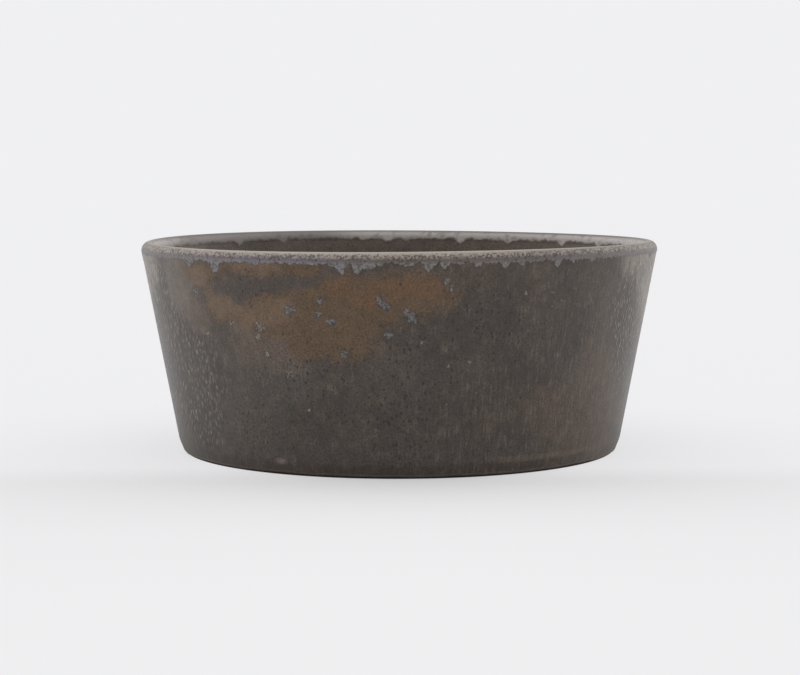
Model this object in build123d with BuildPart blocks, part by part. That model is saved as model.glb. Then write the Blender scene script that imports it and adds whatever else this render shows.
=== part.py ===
"""Ikebana suiban: a thrown stoneware bowl under two glazes, with the pin holder that stands in its water.

Millimetres, +Z up. The origin is the middle of the foot, on the table. The front of the bowl faces -Y.
"""

import os
from math import cos, radians, sin, tan

from build123d import *

# Finished vessel
rim_diameter = 240.0  # outside, at the widest of the lip, over both glazes
height = 98.0  # table to the crest of the lip, over both glazes
wall_lean = 10.6  # degrees from upright, outwards
foot_bevel_height = 5.0  # turned bevel between the foot and the wall
foot_bevel_inset = 2.1  # how far the bevel draws in from the foot of the wall to the table
foot_bevel_softness = 9.0  # radius where the bevel meets the wall

# Clay under the glaze
clay_wall = 6.5  # the lip is a full round of this thickness
clay_floor = 9.0
inside_corner_radius = 16.0
foot_ring_width = 12.0
foot_recess_depth = 2.5
foot_edge_radius = 0.8

# Glazes
glaze_thickness = 0.5
glaze_line_height = 2.0  # the foot is bare clay below this
glaze_roll_radius = 0.3  # rounded lower edge of the coat
rim_glaze_thickness = 0.3
rim_band_outside = 1.0  # straight edge of the rim glaze, down the outside from the lip's round
rim_band_inside = 1.6
run_root = 0.6  # how far a run's shoulders reach up into the band

# Runs of the rim glaze down the outside: angle from the front, width half way down, length below the band
front_runs = [
    (-44.0, 2.6, 1.4),
    (-40.5, 3.2, 3.6),
    (-11.2, 4.4, 4.4),
    (-7.8, 5.0, 4.2),
    (5.8, 3.4, 2.6),
    (9.4, 2.6, 2.4),
    (17.0, 3.8, 1.8),
    (33.5, 4.2, 1.4),
]
hidden_runs = 12  # round the rest of the outside
inside_runs = 16  # all round the inside
run_width_least = 2.6
run_width_spread = 2.4
run_length_least = 1.2
run_length_spread = 3.0
golden_share = 0.381966  # steps by this share of a turn never line up

# Pin holder
plate_diameter = 68.0
plate_thickness = 9.0
plate_edge_radius = 1.5
pin_diameter = 1.4
pin_height = 15.0  # above the plate
pin_tip_length = 3.0
pin_tip_diameter = 0.3
pin_seat_depth = 5.0
pin_bite = 0.01  # the blind hole is this much smaller in radius than the pin
pin_pitch = 5.5
pin_edge_margin = 3.5  # plate edge to the outermost pin
ring_wall = 1.8
ring_height = 6.0
ring_ledge_width = 4.0
ring_ledge_thickness = 1.2
ring_edge_radius = 0.6
ring_clearance = 0.05  # round the plate, on the radius

# Places worked out from the sizes
lean = radians(wall_lean)
lip_radius = clay_wall / 2
coats = glaze_thickness + rim_glaze_thickness
lip_middle = Vector(rim_diameter / 2 - lip_radius - coats, height - lip_radius - coats)
across_wall = Vector(cos(lean), -sin(lean))  # square to the wall, pointing out of the bowl
down_wall = Vector(-sin(lean), -cos(lean))
floor_height = foot_recess_depth + clay_floor
seat_height = floor_height + glaze_thickness
lip_outside = lip_middle + across_wall * lip_radius
lip_inside = lip_middle - across_wall * lip_radius
bevel_top = Vector(lip_outside.X - (lip_outside.Y - foot_bevel_height) * tan(lean), foot_bevel_height)
foot_edge = Vector(bevel_top.X - foot_bevel_inset, 0)
glaze_line = foot_edge + (bevel_top - foot_edge) * (glaze_line_height / foot_bevel_height)
floor_corner = Vector(lip_inside.X - (lip_inside.Y - floor_height) * tan(lean), floor_height)
floor_middle = Vector(0, floor_height)
floor_flat = floor_corner.X - inside_corner_radius * tan(radians(45) - lean / 2)
foot_ring_inside = foot_edge.X - foot_ring_width
trim_reach = 2 * clay_wall  # the trimming rings pass right through one face of the wall

os.makedirs("parts", exist_ok=True)


def draw_clay_surface(start):
    """Line of the clay from a point on the foot bevel, up and over the lip, to the middle of the floor."""
    FilletPolyline(start, bevel_top, lip_outside, radius=foot_bevel_softness)
    ThreePointArc(lip_outside, lip_middle + Vector(0, lip_radius), lip_inside)
    FilletPolyline(lip_inside, floor_corner, floor_middle, radius=inside_corner_radius)


# Thrown bowl, one lump of clay, with its foot turned hollow underneath
with BuildPart() as clay_body:
    with BuildSketch(Plane.XZ):
        with BuildLine():
            draw_clay_surface(foot_edge)
            Polyline(
                floor_middle,
                (0, foot_recess_depth),
                (foot_ring_inside, foot_recess_depth),
                (foot_ring_inside, 0),
                foot_edge,
            )
        make_face()
    revolve(axis=Axis.Z)
    foot_edges = clay_body.edges().filter_by(GeomType.CIRCLE).group_by(Axis.Z)[0]
    fillet(foot_edges, radius=foot_edge_radius)
clay_body.part.label = "clay_body"

# Dark glaze, one coat from the glaze line to the middle of the floor
with BuildPart() as body_glaze:
    with BuildSketch(Plane.XZ):
        with BuildLine():
            draw_clay_surface(glaze_line)
            offset(amount=glaze_thickness, side=Side.LEFT)
        make_face()
    revolve(axis=Axis.Z)
    fillet(body_glaze.edges().sort_by(Axis.Z)[0], radius=glaze_roll_radius)
body_glaze.part.label = "body_glaze"


def formula_runs(count, first_angle, sector):
    """Runs spread over a sector from first_angle on, with widths and lengths that never repeat."""
    runs = []
    for number in range(count):
        wander = (number * golden_share) % 1.0
        angle = first_angle + sector * (number + 0.7 * wander) / count
        width = run_width_least + run_width_spread * ((number * golden_share * 2) % 1.0)
        length = run_length_least + run_length_spread * wander**2
        runs.append((angle, width, length))
    return runs


def band_edge_trim(runs, band_depth, way):
    """Ring that trims the band to its lower edge, notched where the glaze has run.

    way is 1 for the outside of the wall and -1 for the inside.
    """
    edge_height = lip_middle.Y - band_depth * cos(lean)
    with BuildPart() as trim:
        with BuildSketch(Plane.XY.offset(edge_height)):
            Circle(lip_middle.X + max(way, 0) * trim_reach)
            Circle(lip_middle.X + min(way, 0) * trim_reach, mode=Mode.SUBTRACT)
        extrude(amount=-2 * deepest_run)
        for angle, width, length in runs:
            turn = radians(angle)
            outward = Vector(sin(turn), -cos(turn), 0)
            along = Vector(cos(turn), sin(turn), 0)
            middle = outward * (lip_middle.X + way * trim_reach / 2) + Vector(0, 0, edge_height)
            with BuildSketch(Plane(origin=middle, x_dir=along, z_dir=outward)):
                with BuildLine():
                    root_left = Vector(-width, run_root)
                    root_right = Vector(width, run_root)
                    level = Vector(1, 0)
                    Spline(root_left, (0, -length), root_right, tangents=[level, level, level])
                    Line(root_right, root_left)
                make_face()
            extrude(amount=trim_reach, both=True, mode=Mode.SUBTRACT)
    return trim.part


gap_to_front = golden_share * 360 / hidden_runs
first_hidden = front_runs[-1][0] + gap_to_front
hidden_sector = 360 + front_runs[0][0] - gap_to_front - first_hidden
outside_runs = front_runs + formula_runs(hidden_runs, first_hidden, hidden_sector)
deepest_run = max(length for _, _, length in outside_runs) + run_length_spread
outside_trim = band_edge_trim(outside_runs, rim_band_outside, 1)
inside_trim = band_edge_trim(formula_runs(inside_runs, 0, 360), rim_band_inside, -1)

# Pale glaze over the lip, whose lower edges have run down both faces
under_rim_glaze = lip_radius + glaze_thickness
band_top_outside = lip_middle + across_wall * under_rim_glaze
band_top_inside = lip_middle - across_wall * under_rim_glaze
with BuildPart() as rim_glaze:
    with BuildSketch(Plane.XZ):
        with BuildLine():
            Line(band_top_outside + down_wall * (rim_band_outside + deepest_run), band_top_outside)
            ThreePointArc(band_top_outside, lip_middle + Vector(0, under_rim_glaze), band_top_inside)
            Line(band_top_inside, band_top_inside + down_wall * (rim_band_inside + deepest_run))
            offset(amount=rim_glaze_thickness, side=Side.RIGHT)
        make_face()
    revolve(axis=Axis.Z)
    add(outside_trim, mode=Mode.SUBTRACT)
    add(inside_trim, mode=Mode.SUBTRACT)
rim_glaze.part.label = "rim_glaze"

# Rubber ring that the plate sits in, standing on the glazed floor
ring_inside = plate_diameter / 2 + ring_clearance
ring_outside = ring_inside + ring_wall
with BuildPart() as kenzan_ring:
    with BuildSketch(Plane.XY.offset(seat_height)):
        Circle(ring_outside)
        Circle(plate_diameter / 2 - ring_ledge_width, mode=Mode.SUBTRACT)
    extrude(amount=ring_height)
    with BuildSketch(Plane.XY.offset(seat_height + ring_ledge_thickness)):
        Circle(ring_inside)
    extrude(amount=ring_height, mode=Mode.SUBTRACT)
    ring_rims = kenzan_ring.edges().filter_by(GeomType.CIRCLE).sort_by(SortBy.RADIUS)[-2:]
    fillet(ring_rims, radius=ring_edge_radius)
kenzan_ring.part.label = "kenzan_ring"

# Pins stand in a triangular pattern, one in the middle
plate_bottom = seat_height + ring_ledge_thickness
plate_top = plate_bottom + plate_thickness
pin_field_radius = plate_diameter / 2 - pin_edge_margin
pin_rows = int(pin_field_radius / (pin_pitch * cos(radians(30))))
pin_places = []
for row in range(-pin_rows, pin_rows + 1):
    columns = int(plate_diameter / pin_pitch)
    for column in range(-columns, columns + 1):
        place = Vector((column + (row % 2) / 2) * pin_pitch, row * pin_pitch * cos(radians(30)))
        if place.length <= pin_field_radius:
            pin_places.append(place)

# Cast plate, drilled blind for the pins
with BuildPart() as kenzan_base:
    with BuildSketch(Plane.XY.offset(plate_bottom)):
        Circle(plate_diameter / 2)
    extrude(amount=plate_thickness)
    fillet(kenzan_base.edges().filter_by(GeomType.CIRCLE).sort_by(Axis.Z)[-1], radius=plate_edge_radius)
    with BuildSketch(Plane.XY.offset(plate_top)):
        with Locations(*pin_places):
            Circle(pin_diameter / 2 - pin_bite)
    extrude(amount=-pin_seat_depth, mode=Mode.SUBTRACT)
kenzan_base.part.label = "kenzan_base"

# One drawn brass pin with a ground point
with BuildPart() as pin:
    with BuildSketch(Plane.XZ):
        with BuildLine():
            Polyline(
                (0, -pin_seat_depth),
                (pin_diameter / 2, -pin_seat_depth),
                (pin_diameter / 2, pin_height - pin_tip_length),
                (pin_tip_diameter / 2, pin_height),
                (0, pin_height),
                close=True,
            )
        make_face()
    revolve(axis=Axis.Z)

with BuildPart() as kenzan_pins:
    with Locations(*[(place.X, place.Y, plate_top) for place in pin_places]):
        add(pin.part)
kenzan_pins.part.label = "kenzan_pins"

for piece in (clay_body, body_glaze, rim_glaze, kenzan_ring, kenzan_base, kenzan_pins):
    export_step(piece.part, f"parts/{piece.part.label}.step")

print("pins:", len(pin_places), "runs:", len(outside_runs), "outside and", inside_runs, "inside")
print("foot", round(2 * foot_edge.X, 2), "mm across; flat floor", round(2 * floor_flat, 2), "mm across")
print("floor of the basin at", round(seat_height, 2), "mm; pins end at", round(plate_top + pin_height, 2), "mm")
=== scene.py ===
"""Looks of an ikebana suiban: a thrown stoneware bowl in a dark iron glaze, its pale rim glaze, and its pin holder.

Metres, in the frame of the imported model: +Z up, the origin under the middle of the foot, the front towards -Y.
Sizes in the classes are in millimetres, and angles are degrees from the front, positive to the viewer's right.
"""

import logging
import math
from dataclasses import dataclass, field
from enum import Enum
from typing import Any, Iterable

import bpy
import numpy as np
from mathutils import Matrix, Vector, noise


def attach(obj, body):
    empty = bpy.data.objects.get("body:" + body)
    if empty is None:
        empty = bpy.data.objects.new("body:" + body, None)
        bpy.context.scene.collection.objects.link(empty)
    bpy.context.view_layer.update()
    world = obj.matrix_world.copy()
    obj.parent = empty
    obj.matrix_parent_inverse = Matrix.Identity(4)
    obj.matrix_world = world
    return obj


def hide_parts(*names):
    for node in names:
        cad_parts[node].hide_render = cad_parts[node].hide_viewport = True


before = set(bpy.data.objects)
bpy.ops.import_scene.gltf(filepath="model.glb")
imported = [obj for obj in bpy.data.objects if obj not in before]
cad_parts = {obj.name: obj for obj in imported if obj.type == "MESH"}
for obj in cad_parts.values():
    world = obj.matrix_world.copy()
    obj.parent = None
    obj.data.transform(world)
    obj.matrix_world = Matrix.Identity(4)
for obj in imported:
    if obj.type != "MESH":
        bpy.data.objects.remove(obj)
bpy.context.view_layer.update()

MM = 0.001
GOLDEN_SHARE = 0.381966  # steps by this share of a turn never line up
PICTURE_WIDTH = 800.0  # pixels across the picture
RIM_RADIUS = 120.0  # millimetres
HIDDEN_START = 84.0  # degrees from the front where the picture shows no more of the wall
HIDDEN_SECTOR = 190.0  # degrees from there round the back

log = logging.getLogger("suiban")

Point = tuple[float, float]
Tones = tuple[tuple[float, str], ...]  # places and colours
Tree = bpy.types.NodeTree
Socket = bpy.types.NodeSocket
Piece = bpy.types.Object
Material = bpy.types.Material


class Body(str, Enum):
    """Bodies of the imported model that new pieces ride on."""

    VESSEL = "vessel"


class Node(str, Enum):
    """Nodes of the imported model."""

    CLAY = "clay_body"
    DARK_COAT = "body_glaze"
    PALE_COAT = "rim_glaze"
    PLATE = "kenzan_base"
    PINS = "kenzan_pins"
    RING = "kenzan_ring"


class Slot(str, Enum):
    """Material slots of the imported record."""

    STONEWARE = "stoneware"
    DARK_GLAZE = "dark_glaze"
    PALE_GLAZE = "pale_glaze"


class Face(Enum):
    """The two faces of the wall that a run of glaze can go down."""

    OUTSIDE = 1
    INSIDE = -1


# Small helpers


def linear(colour: str) -> tuple[float, float, float, float]:
    """Turn an sRGB hex colour to linear light.

    Args:
        colour: "#rrggbb".

    Returns:
        Linear red, green, blue, and an alpha of 1.
    """
    channels = []
    for start in (1, 3, 5):
        value = int(colour[start : start + 2], 16) / 255
        channels.append(value / 12.92 if value <= 0.04045 else ((value + 0.055) / 1.055) ** 2.4)
    return (channels[0], channels[1], channels[2], 1.0)


def per_metre(size: float) -> float:
    """Scale of a pattern whose features are this many millimetres across."""
    return 1.0 / (size * MM)


def add_node(tree: Tree, kind: str, settings: dict[str, Any], inputs: dict[Any, Any]) -> bpy.types.Node:
    """Add one node with its settings and links.

    Args:
        tree: Node tree of a material or the world.
        kind: Type name of the node, without its "ShaderNode" start.
        settings: Properties of the node; "stops" holds the places and colours of a colour ramp.
        inputs: Input sockets by name or number; a socket as value is linked, anything else is set.

    Returns:
        The new node.
    """
    node = tree.nodes.new("ShaderNode" + kind)
    for name, value in settings.items():
        if name == "stops":
            stops = [(place, linear(colour) if isinstance(colour, str) else colour) for place, colour in value]
            ramp = node.color_ramp.elements
            ramp[0].position, ramp[1].position = stops[0][0], stops[-1][0]
            ramp[0].color, ramp[1].color = stops[0][1], stops[-1][1]
            for place, colour in stops[1:-1]:
                ramp.new(place).color = colour
        else:
            setattr(node, name, value)
    for name, value in inputs.items():
        if isinstance(value, Socket):
            tree.links.new(value, node.inputs[name])
        else:
            node.inputs[name].default_value = value
    return node


def new_material(name: str) -> tuple[Material, Tree, bpy.types.Node, Socket]:
    """Start a material with only its shader, its output and its coordinates.

    Args:
        name: Name of the material.

    Returns:
        The material, its node tree, its Principled shader and its Object coordinates.
    """
    material = bpy.data.materials.new(name)
    material.use_nodes = True
    tree = material.node_tree
    tree.nodes.clear()
    shader = add_node(tree, "BsdfPrincipled", {}, {})
    add_node(tree, "OutputMaterial", {}, {"Surface": shader.outputs["BSDF"]})
    return material, tree, shader, add_node(tree, "TexCoord", {}, {}).outputs["Object"]


def dress(piece: Piece, material: Material) -> None:
    """Give a piece one material all over."""
    piece.data.materials.clear()
    piece.data.materials.append(material)


@dataclass(frozen=True)
class Layer:
    """A colour that is laid where a pattern passes a soft step.

    Attributes:
        colour: The colour.
        first: Value of the pattern where it begins to show.
        last: Value where it shows most.
        most: Its share there.
    """

    colour: str
    first: float
    last: float
    most: float


def lay(tree: Tree, under: Socket, layer: Layer, pattern: Socket, *masks: Socket) -> Socket:
    """Lay a colour over a painted surface.

    Args:
        tree: Node tree of the material.
        under: Colour so far.
        layer: The new colour with its soft step.
        pattern: Value that the step works on.
        masks: Shares that thin it further.

    Returns:
        The colour after that.
    """
    share = add_node(
        tree,
        "MapRange",
        {"interpolation_type": "SMOOTHSTEP"},
        {"Value": pattern, "From Min": layer.first, "From Max": layer.last, "To Min": 0.0, "To Max": layer.most},
    ).outputs["Result"]
    for mask in masks:
        share = add_node(tree, "Math", {"operation": "MULTIPLY"}, {0: share, 1: mask}).outputs[0]
    return add_node(tree, "Mix", {"data_type": "RGBA"}, {0: share, 6: under, 7: linear(layer.colour)}).outputs[2]


def weigh(tree: Tree, start: float | Socket, *patterns: tuple[Socket, float]) -> Socket:
    """Add patterns up, each with its weight.

    Args:
        tree: Node tree of the material.
        start: What they are added to.
        patterns: The patterns and their weights.

    Returns:
        The sum.
    """
    total = start
    for pattern, weight in patterns:
        total = add_node(tree, "Math", {"operation": "MULTIPLY_ADD"}, {0: pattern, 1: weight, 2: total}).outputs[0]
    return total


def skin(tree: Tree, shader: bpy.types.Node, colour: Socket, height: Socket, strength: float, depth: float) -> None:
    """Give a surface its colour and its relief.

    Args:
        tree: Node tree of the material.
        shader: Its shader.
        colour: Colour of the surface.
        height: Height of the relief.
        strength: How much of it shows.
        depth: Millimetres that a height of 1 stands for.
    """
    bump = add_node(tree, "Bump", {}, {"Height": height, "Strength": strength, "Distance": depth * MM})
    tree.links.new(colour, shader.inputs["Base Color"])
    tree.links.new(bump.outputs["Normal"], shader.inputs["Normal"])


def ride(piece: Piece, body: Body, node: Node) -> None:
    """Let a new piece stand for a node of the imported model.

    Args:
        piece: The new piece.
        body: Body that it rides on.
        node: Node that it replaces.
    """
    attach(piece, body.value)
    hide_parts(node.value)


def wander(angle: float, wave: float, seed: float) -> float:
    """Smooth chance value round the bowl.

    Args:
        angle: Degrees from the front.
        wave: Length of the wave round the lip in millimetres.
        seed: Picks one of many such lines.

    Returns:
        A value from about -1 to 1 that closes on itself after a full turn.
    """
    turn = math.radians(angle)
    reach = RIM_RADIUS / wave
    return noise.noise(Vector((reach * math.sin(turn), reach * math.cos(turn), seed)))


class ProfilePen:
    """Draws the half section of a turned piece point by point in edit mode, then turns it about the bowl's axis."""

    def __init__(self, name: str, start: Point) -> None:
        """Start from a small plane that is merged to one point.

        Args:
            name: Name of the piece.
            start: Radius and height in millimetres.
        """
        bpy.ops.object.select_all(action="DESELECT")
        bpy.ops.mesh.primitive_plane_add(size=MM, location=(0.0, 0.0, 0.0))
        self.piece = bpy.context.active_object
        self.piece.name = name
        self.piece.data.name = name
        bpy.ops.object.mode_set(mode="EDIT")
        bpy.ops.mesh.select_all(action="SELECT")
        bpy.ops.mesh.merge(type="CENTER")
        bpy.ops.transform.translate(value=(start[0] * MM, 0.0, start[1] * MM))
        self.at = start

    def draw(self, points: Iterable[Point]) -> "ProfilePen":
        """Extrude the line from point to point.

        Args:
            points: Radii and heights in millimetres.

        Returns:
            The pen itself.
        """
        for point in points:
            step = ((point[0] - self.at[0]) * MM, 0.0, (point[1] - self.at[1]) * MM)
            bpy.ops.mesh.extrude_vertices_move(TRANSFORM_OT_translate={"value": step})
            self.at = point
        return self

    def turn(self, steps: int) -> Piece:
        """Turn the line a full turn about the axis, close its seam and poles, and leave edit mode.

        Args:
            steps: Columns round the piece.

        Returns:
            The turned piece, with its faces outwards.
        """
        bpy.ops.object.mode_set(mode="OBJECT")
        wheel = self.piece.modifiers.new("wheel", "SCREW")
        wheel.axis = "Z"
        wheel.angle = 2 * math.pi
        wheel.steps = steps
        wheel.render_steps = steps
        bpy.ops.object.modifier_apply(modifier=wheel.name)
        bpy.ops.object.mode_set(mode="EDIT")
        bpy.ops.mesh.select_all(action="SELECT")
        bpy.ops.mesh.remove_doubles(threshold=0.002 * MM)
        bpy.ops.mesh.normals_make_consistent(inside=False)
        bpy.ops.object.mode_set(mode="OBJECT")
        bpy.ops.object.shade_smooth()
        return self.piece


# Finishes


@dataclass(frozen=True)
class Spot:
    """A patch on the wall: its place and how far it reaches.

    Attributes:
        angle: Degrees from the front.
        height: Millimetres above the table.
        reach: Half its width in millimetres.
    """

    angle: float
    height: float
    reach: float


@dataclass(frozen=True)
class BareStoneware:
    """Iron-bearing stoneware, thrown and turned, fired bare: matte brown with sand grains and turning lines.

    The outer edge of the foot is darker: painted shadow where it stands on the table.
    """

    name: str = "iron_stoneware"
    tones: Tones = ((0.36, "#4b3a30"), (0.66, "#644d3d"))
    turned: Layer = Layer("#3d2f27", 0.5, 0.35, 0.45)
    tooth: Layer = Layer("#3d2f27", 0.46, 0.32, 0.6)
    sand: tuple[tuple[float, Layer], ...] = (  # chance of a grain, and its colour
        (0.42, Layer("#8a7763", 0.26, 0.12, 0.6)),
        (0.3, Layer("#2e2520", 0.26, 0.12, 0.8)),
    )
    # Painted shadow at the outer edge of the foot, where it stands on the table
    contact_shadow: Layer = Layer("#34221b", 98.6 * MM, 100.0 * MM, 0.95)  # by the distance from the axis
    roughness: float = 0.82
    patch_size: float = 24.0
    turning_pitch: float = 1.6
    turning_weight: float = 0.8
    sand_spacing: float = 1.5
    tooth_size: float = 0.7
    relief_strength: float = 0.5
    relief: float = 0.2

    def make(self) -> Material:
        """Make the material.

        Returns:
            The material.
        """
        material, tree, shader, place = new_material(self.name)
        level = add_node(
            tree, "VectorMath", {"operation": "MULTIPLY"}, {0: place, 1: (1.0, 1.0, 0.0)}
        ).outputs["Vector"]
        radius = add_node(tree, "VectorMath", {"operation": "LENGTH"}, {0: level}).outputs["Value"]
        turning = add_node(
            tree,
            "TexNoise",
            {"noise_dimensions": "1D"},
            {"W": radius, "Scale": per_metre(self.turning_pitch), "Detail": 2.0, "Roughness": 0.6},
        ).outputs["Fac"]
        patches, tooth = (
            add_node(
                tree, "TexNoise", {}, {"Vector": place, "Scale": per_metre(size), "Detail": 4.0, "Roughness": 0.65}
            ).outputs["Fac"]
            for size in (self.patch_size, self.tooth_size)
        )
        shown = add_node(tree, "ValToRGB", {"stops": self.tones}, {"Fac": patches}).outputs["Color"]
        shown = lay(tree, shown, self.turned, turning)
        shown = lay(tree, shown, self.tooth, tooth)
        grains = add_node(tree, "TexVoronoi", {}, {"Vector": place, "Scale": per_metre(self.sand_spacing)})
        for chance, layer in self.sand:
            there = add_node(
                tree, "Math", {"operation": "LESS_THAN"}, {0: grains.outputs["Color"], 1: chance}
            ).outputs[0]
            shown = lay(tree, shown, layer, grains.outputs["Distance"], there)
        # Painted shadow round the outer edge of the foot
        shown = lay(tree, shown, self.contact_shadow, radius)
        height = weigh(tree, tooth, (turning, self.turning_weight))
        skin(tree, shader, shown, height, self.relief_strength, self.relief)
        shader.inputs["Roughness"].default_value = self.roughness
        return material


@dataclass(frozen=True)
class Patches:
    """Places on the wall where the dark glaze has a pattern of its own.

    Attributes:
        spots: The patches.
        flatness: How much wider than high they are.
        core: Share of their reach that is fully covered.
    """

    spots: tuple[Spot, ...]
    flatness: float = 1.0
    core: float = 0.0


@dataclass(frozen=True)
class Tint:
    """Patches of one colour in the dark glaze.

    Attributes:
        colour: Colour at full cover.
        strength: Share of that colour where a patch is full.
        spots: The patches.
        flatness: How much wider than high they are.
        core: Share of their reach that is fully covered.
    """

    colour: str
    strength: float
    spots: tuple[Spot, ...]
    flatness: float = 1.0
    core: float = 0.0

    def layer(self, first: float = 0.0, last: float = 1.0) -> Layer:
        """Its colour, laid between two values of a pattern."""
        return Layer(self.colour, first, last, self.strength)


def hidden_spots(count: int, reach: float, spread: float, low: float, high: float) -> tuple[Spot, ...]:
    """Patches round the sides and back, placed by formula.

    Args:
        count: Number of patches.
        reach: Least reach of a patch.
        spread: How much more a patch may reach.
        low: Lowest height.
        high: Greatest height.

    Returns:
        The patches.
    """
    spots = []
    for number in range(count):
        share = (number * GOLDEN_SHARE) % 1.0
        angle = HIDDEN_START + HIDDEN_SECTOR * (number + 0.8 * share) / count
        height = low + (high - low) * ((number * GOLDEN_SHARE * 2 + 0.3) % 1.0)
        spots.append(Spot(angle, height, reach + spread * share))
    return tuple(spots)


@dataclass(frozen=True)
class Coat:
    """Sockets of a painted glaze.

    Attributes:
        colour: Its colour.
        relief: Height of its surface, where 1 is the glaze's relief.
        gloss: Its roughness.
    """

    colour: Socket
    relief: Socket
    gloss: Socket


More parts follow.
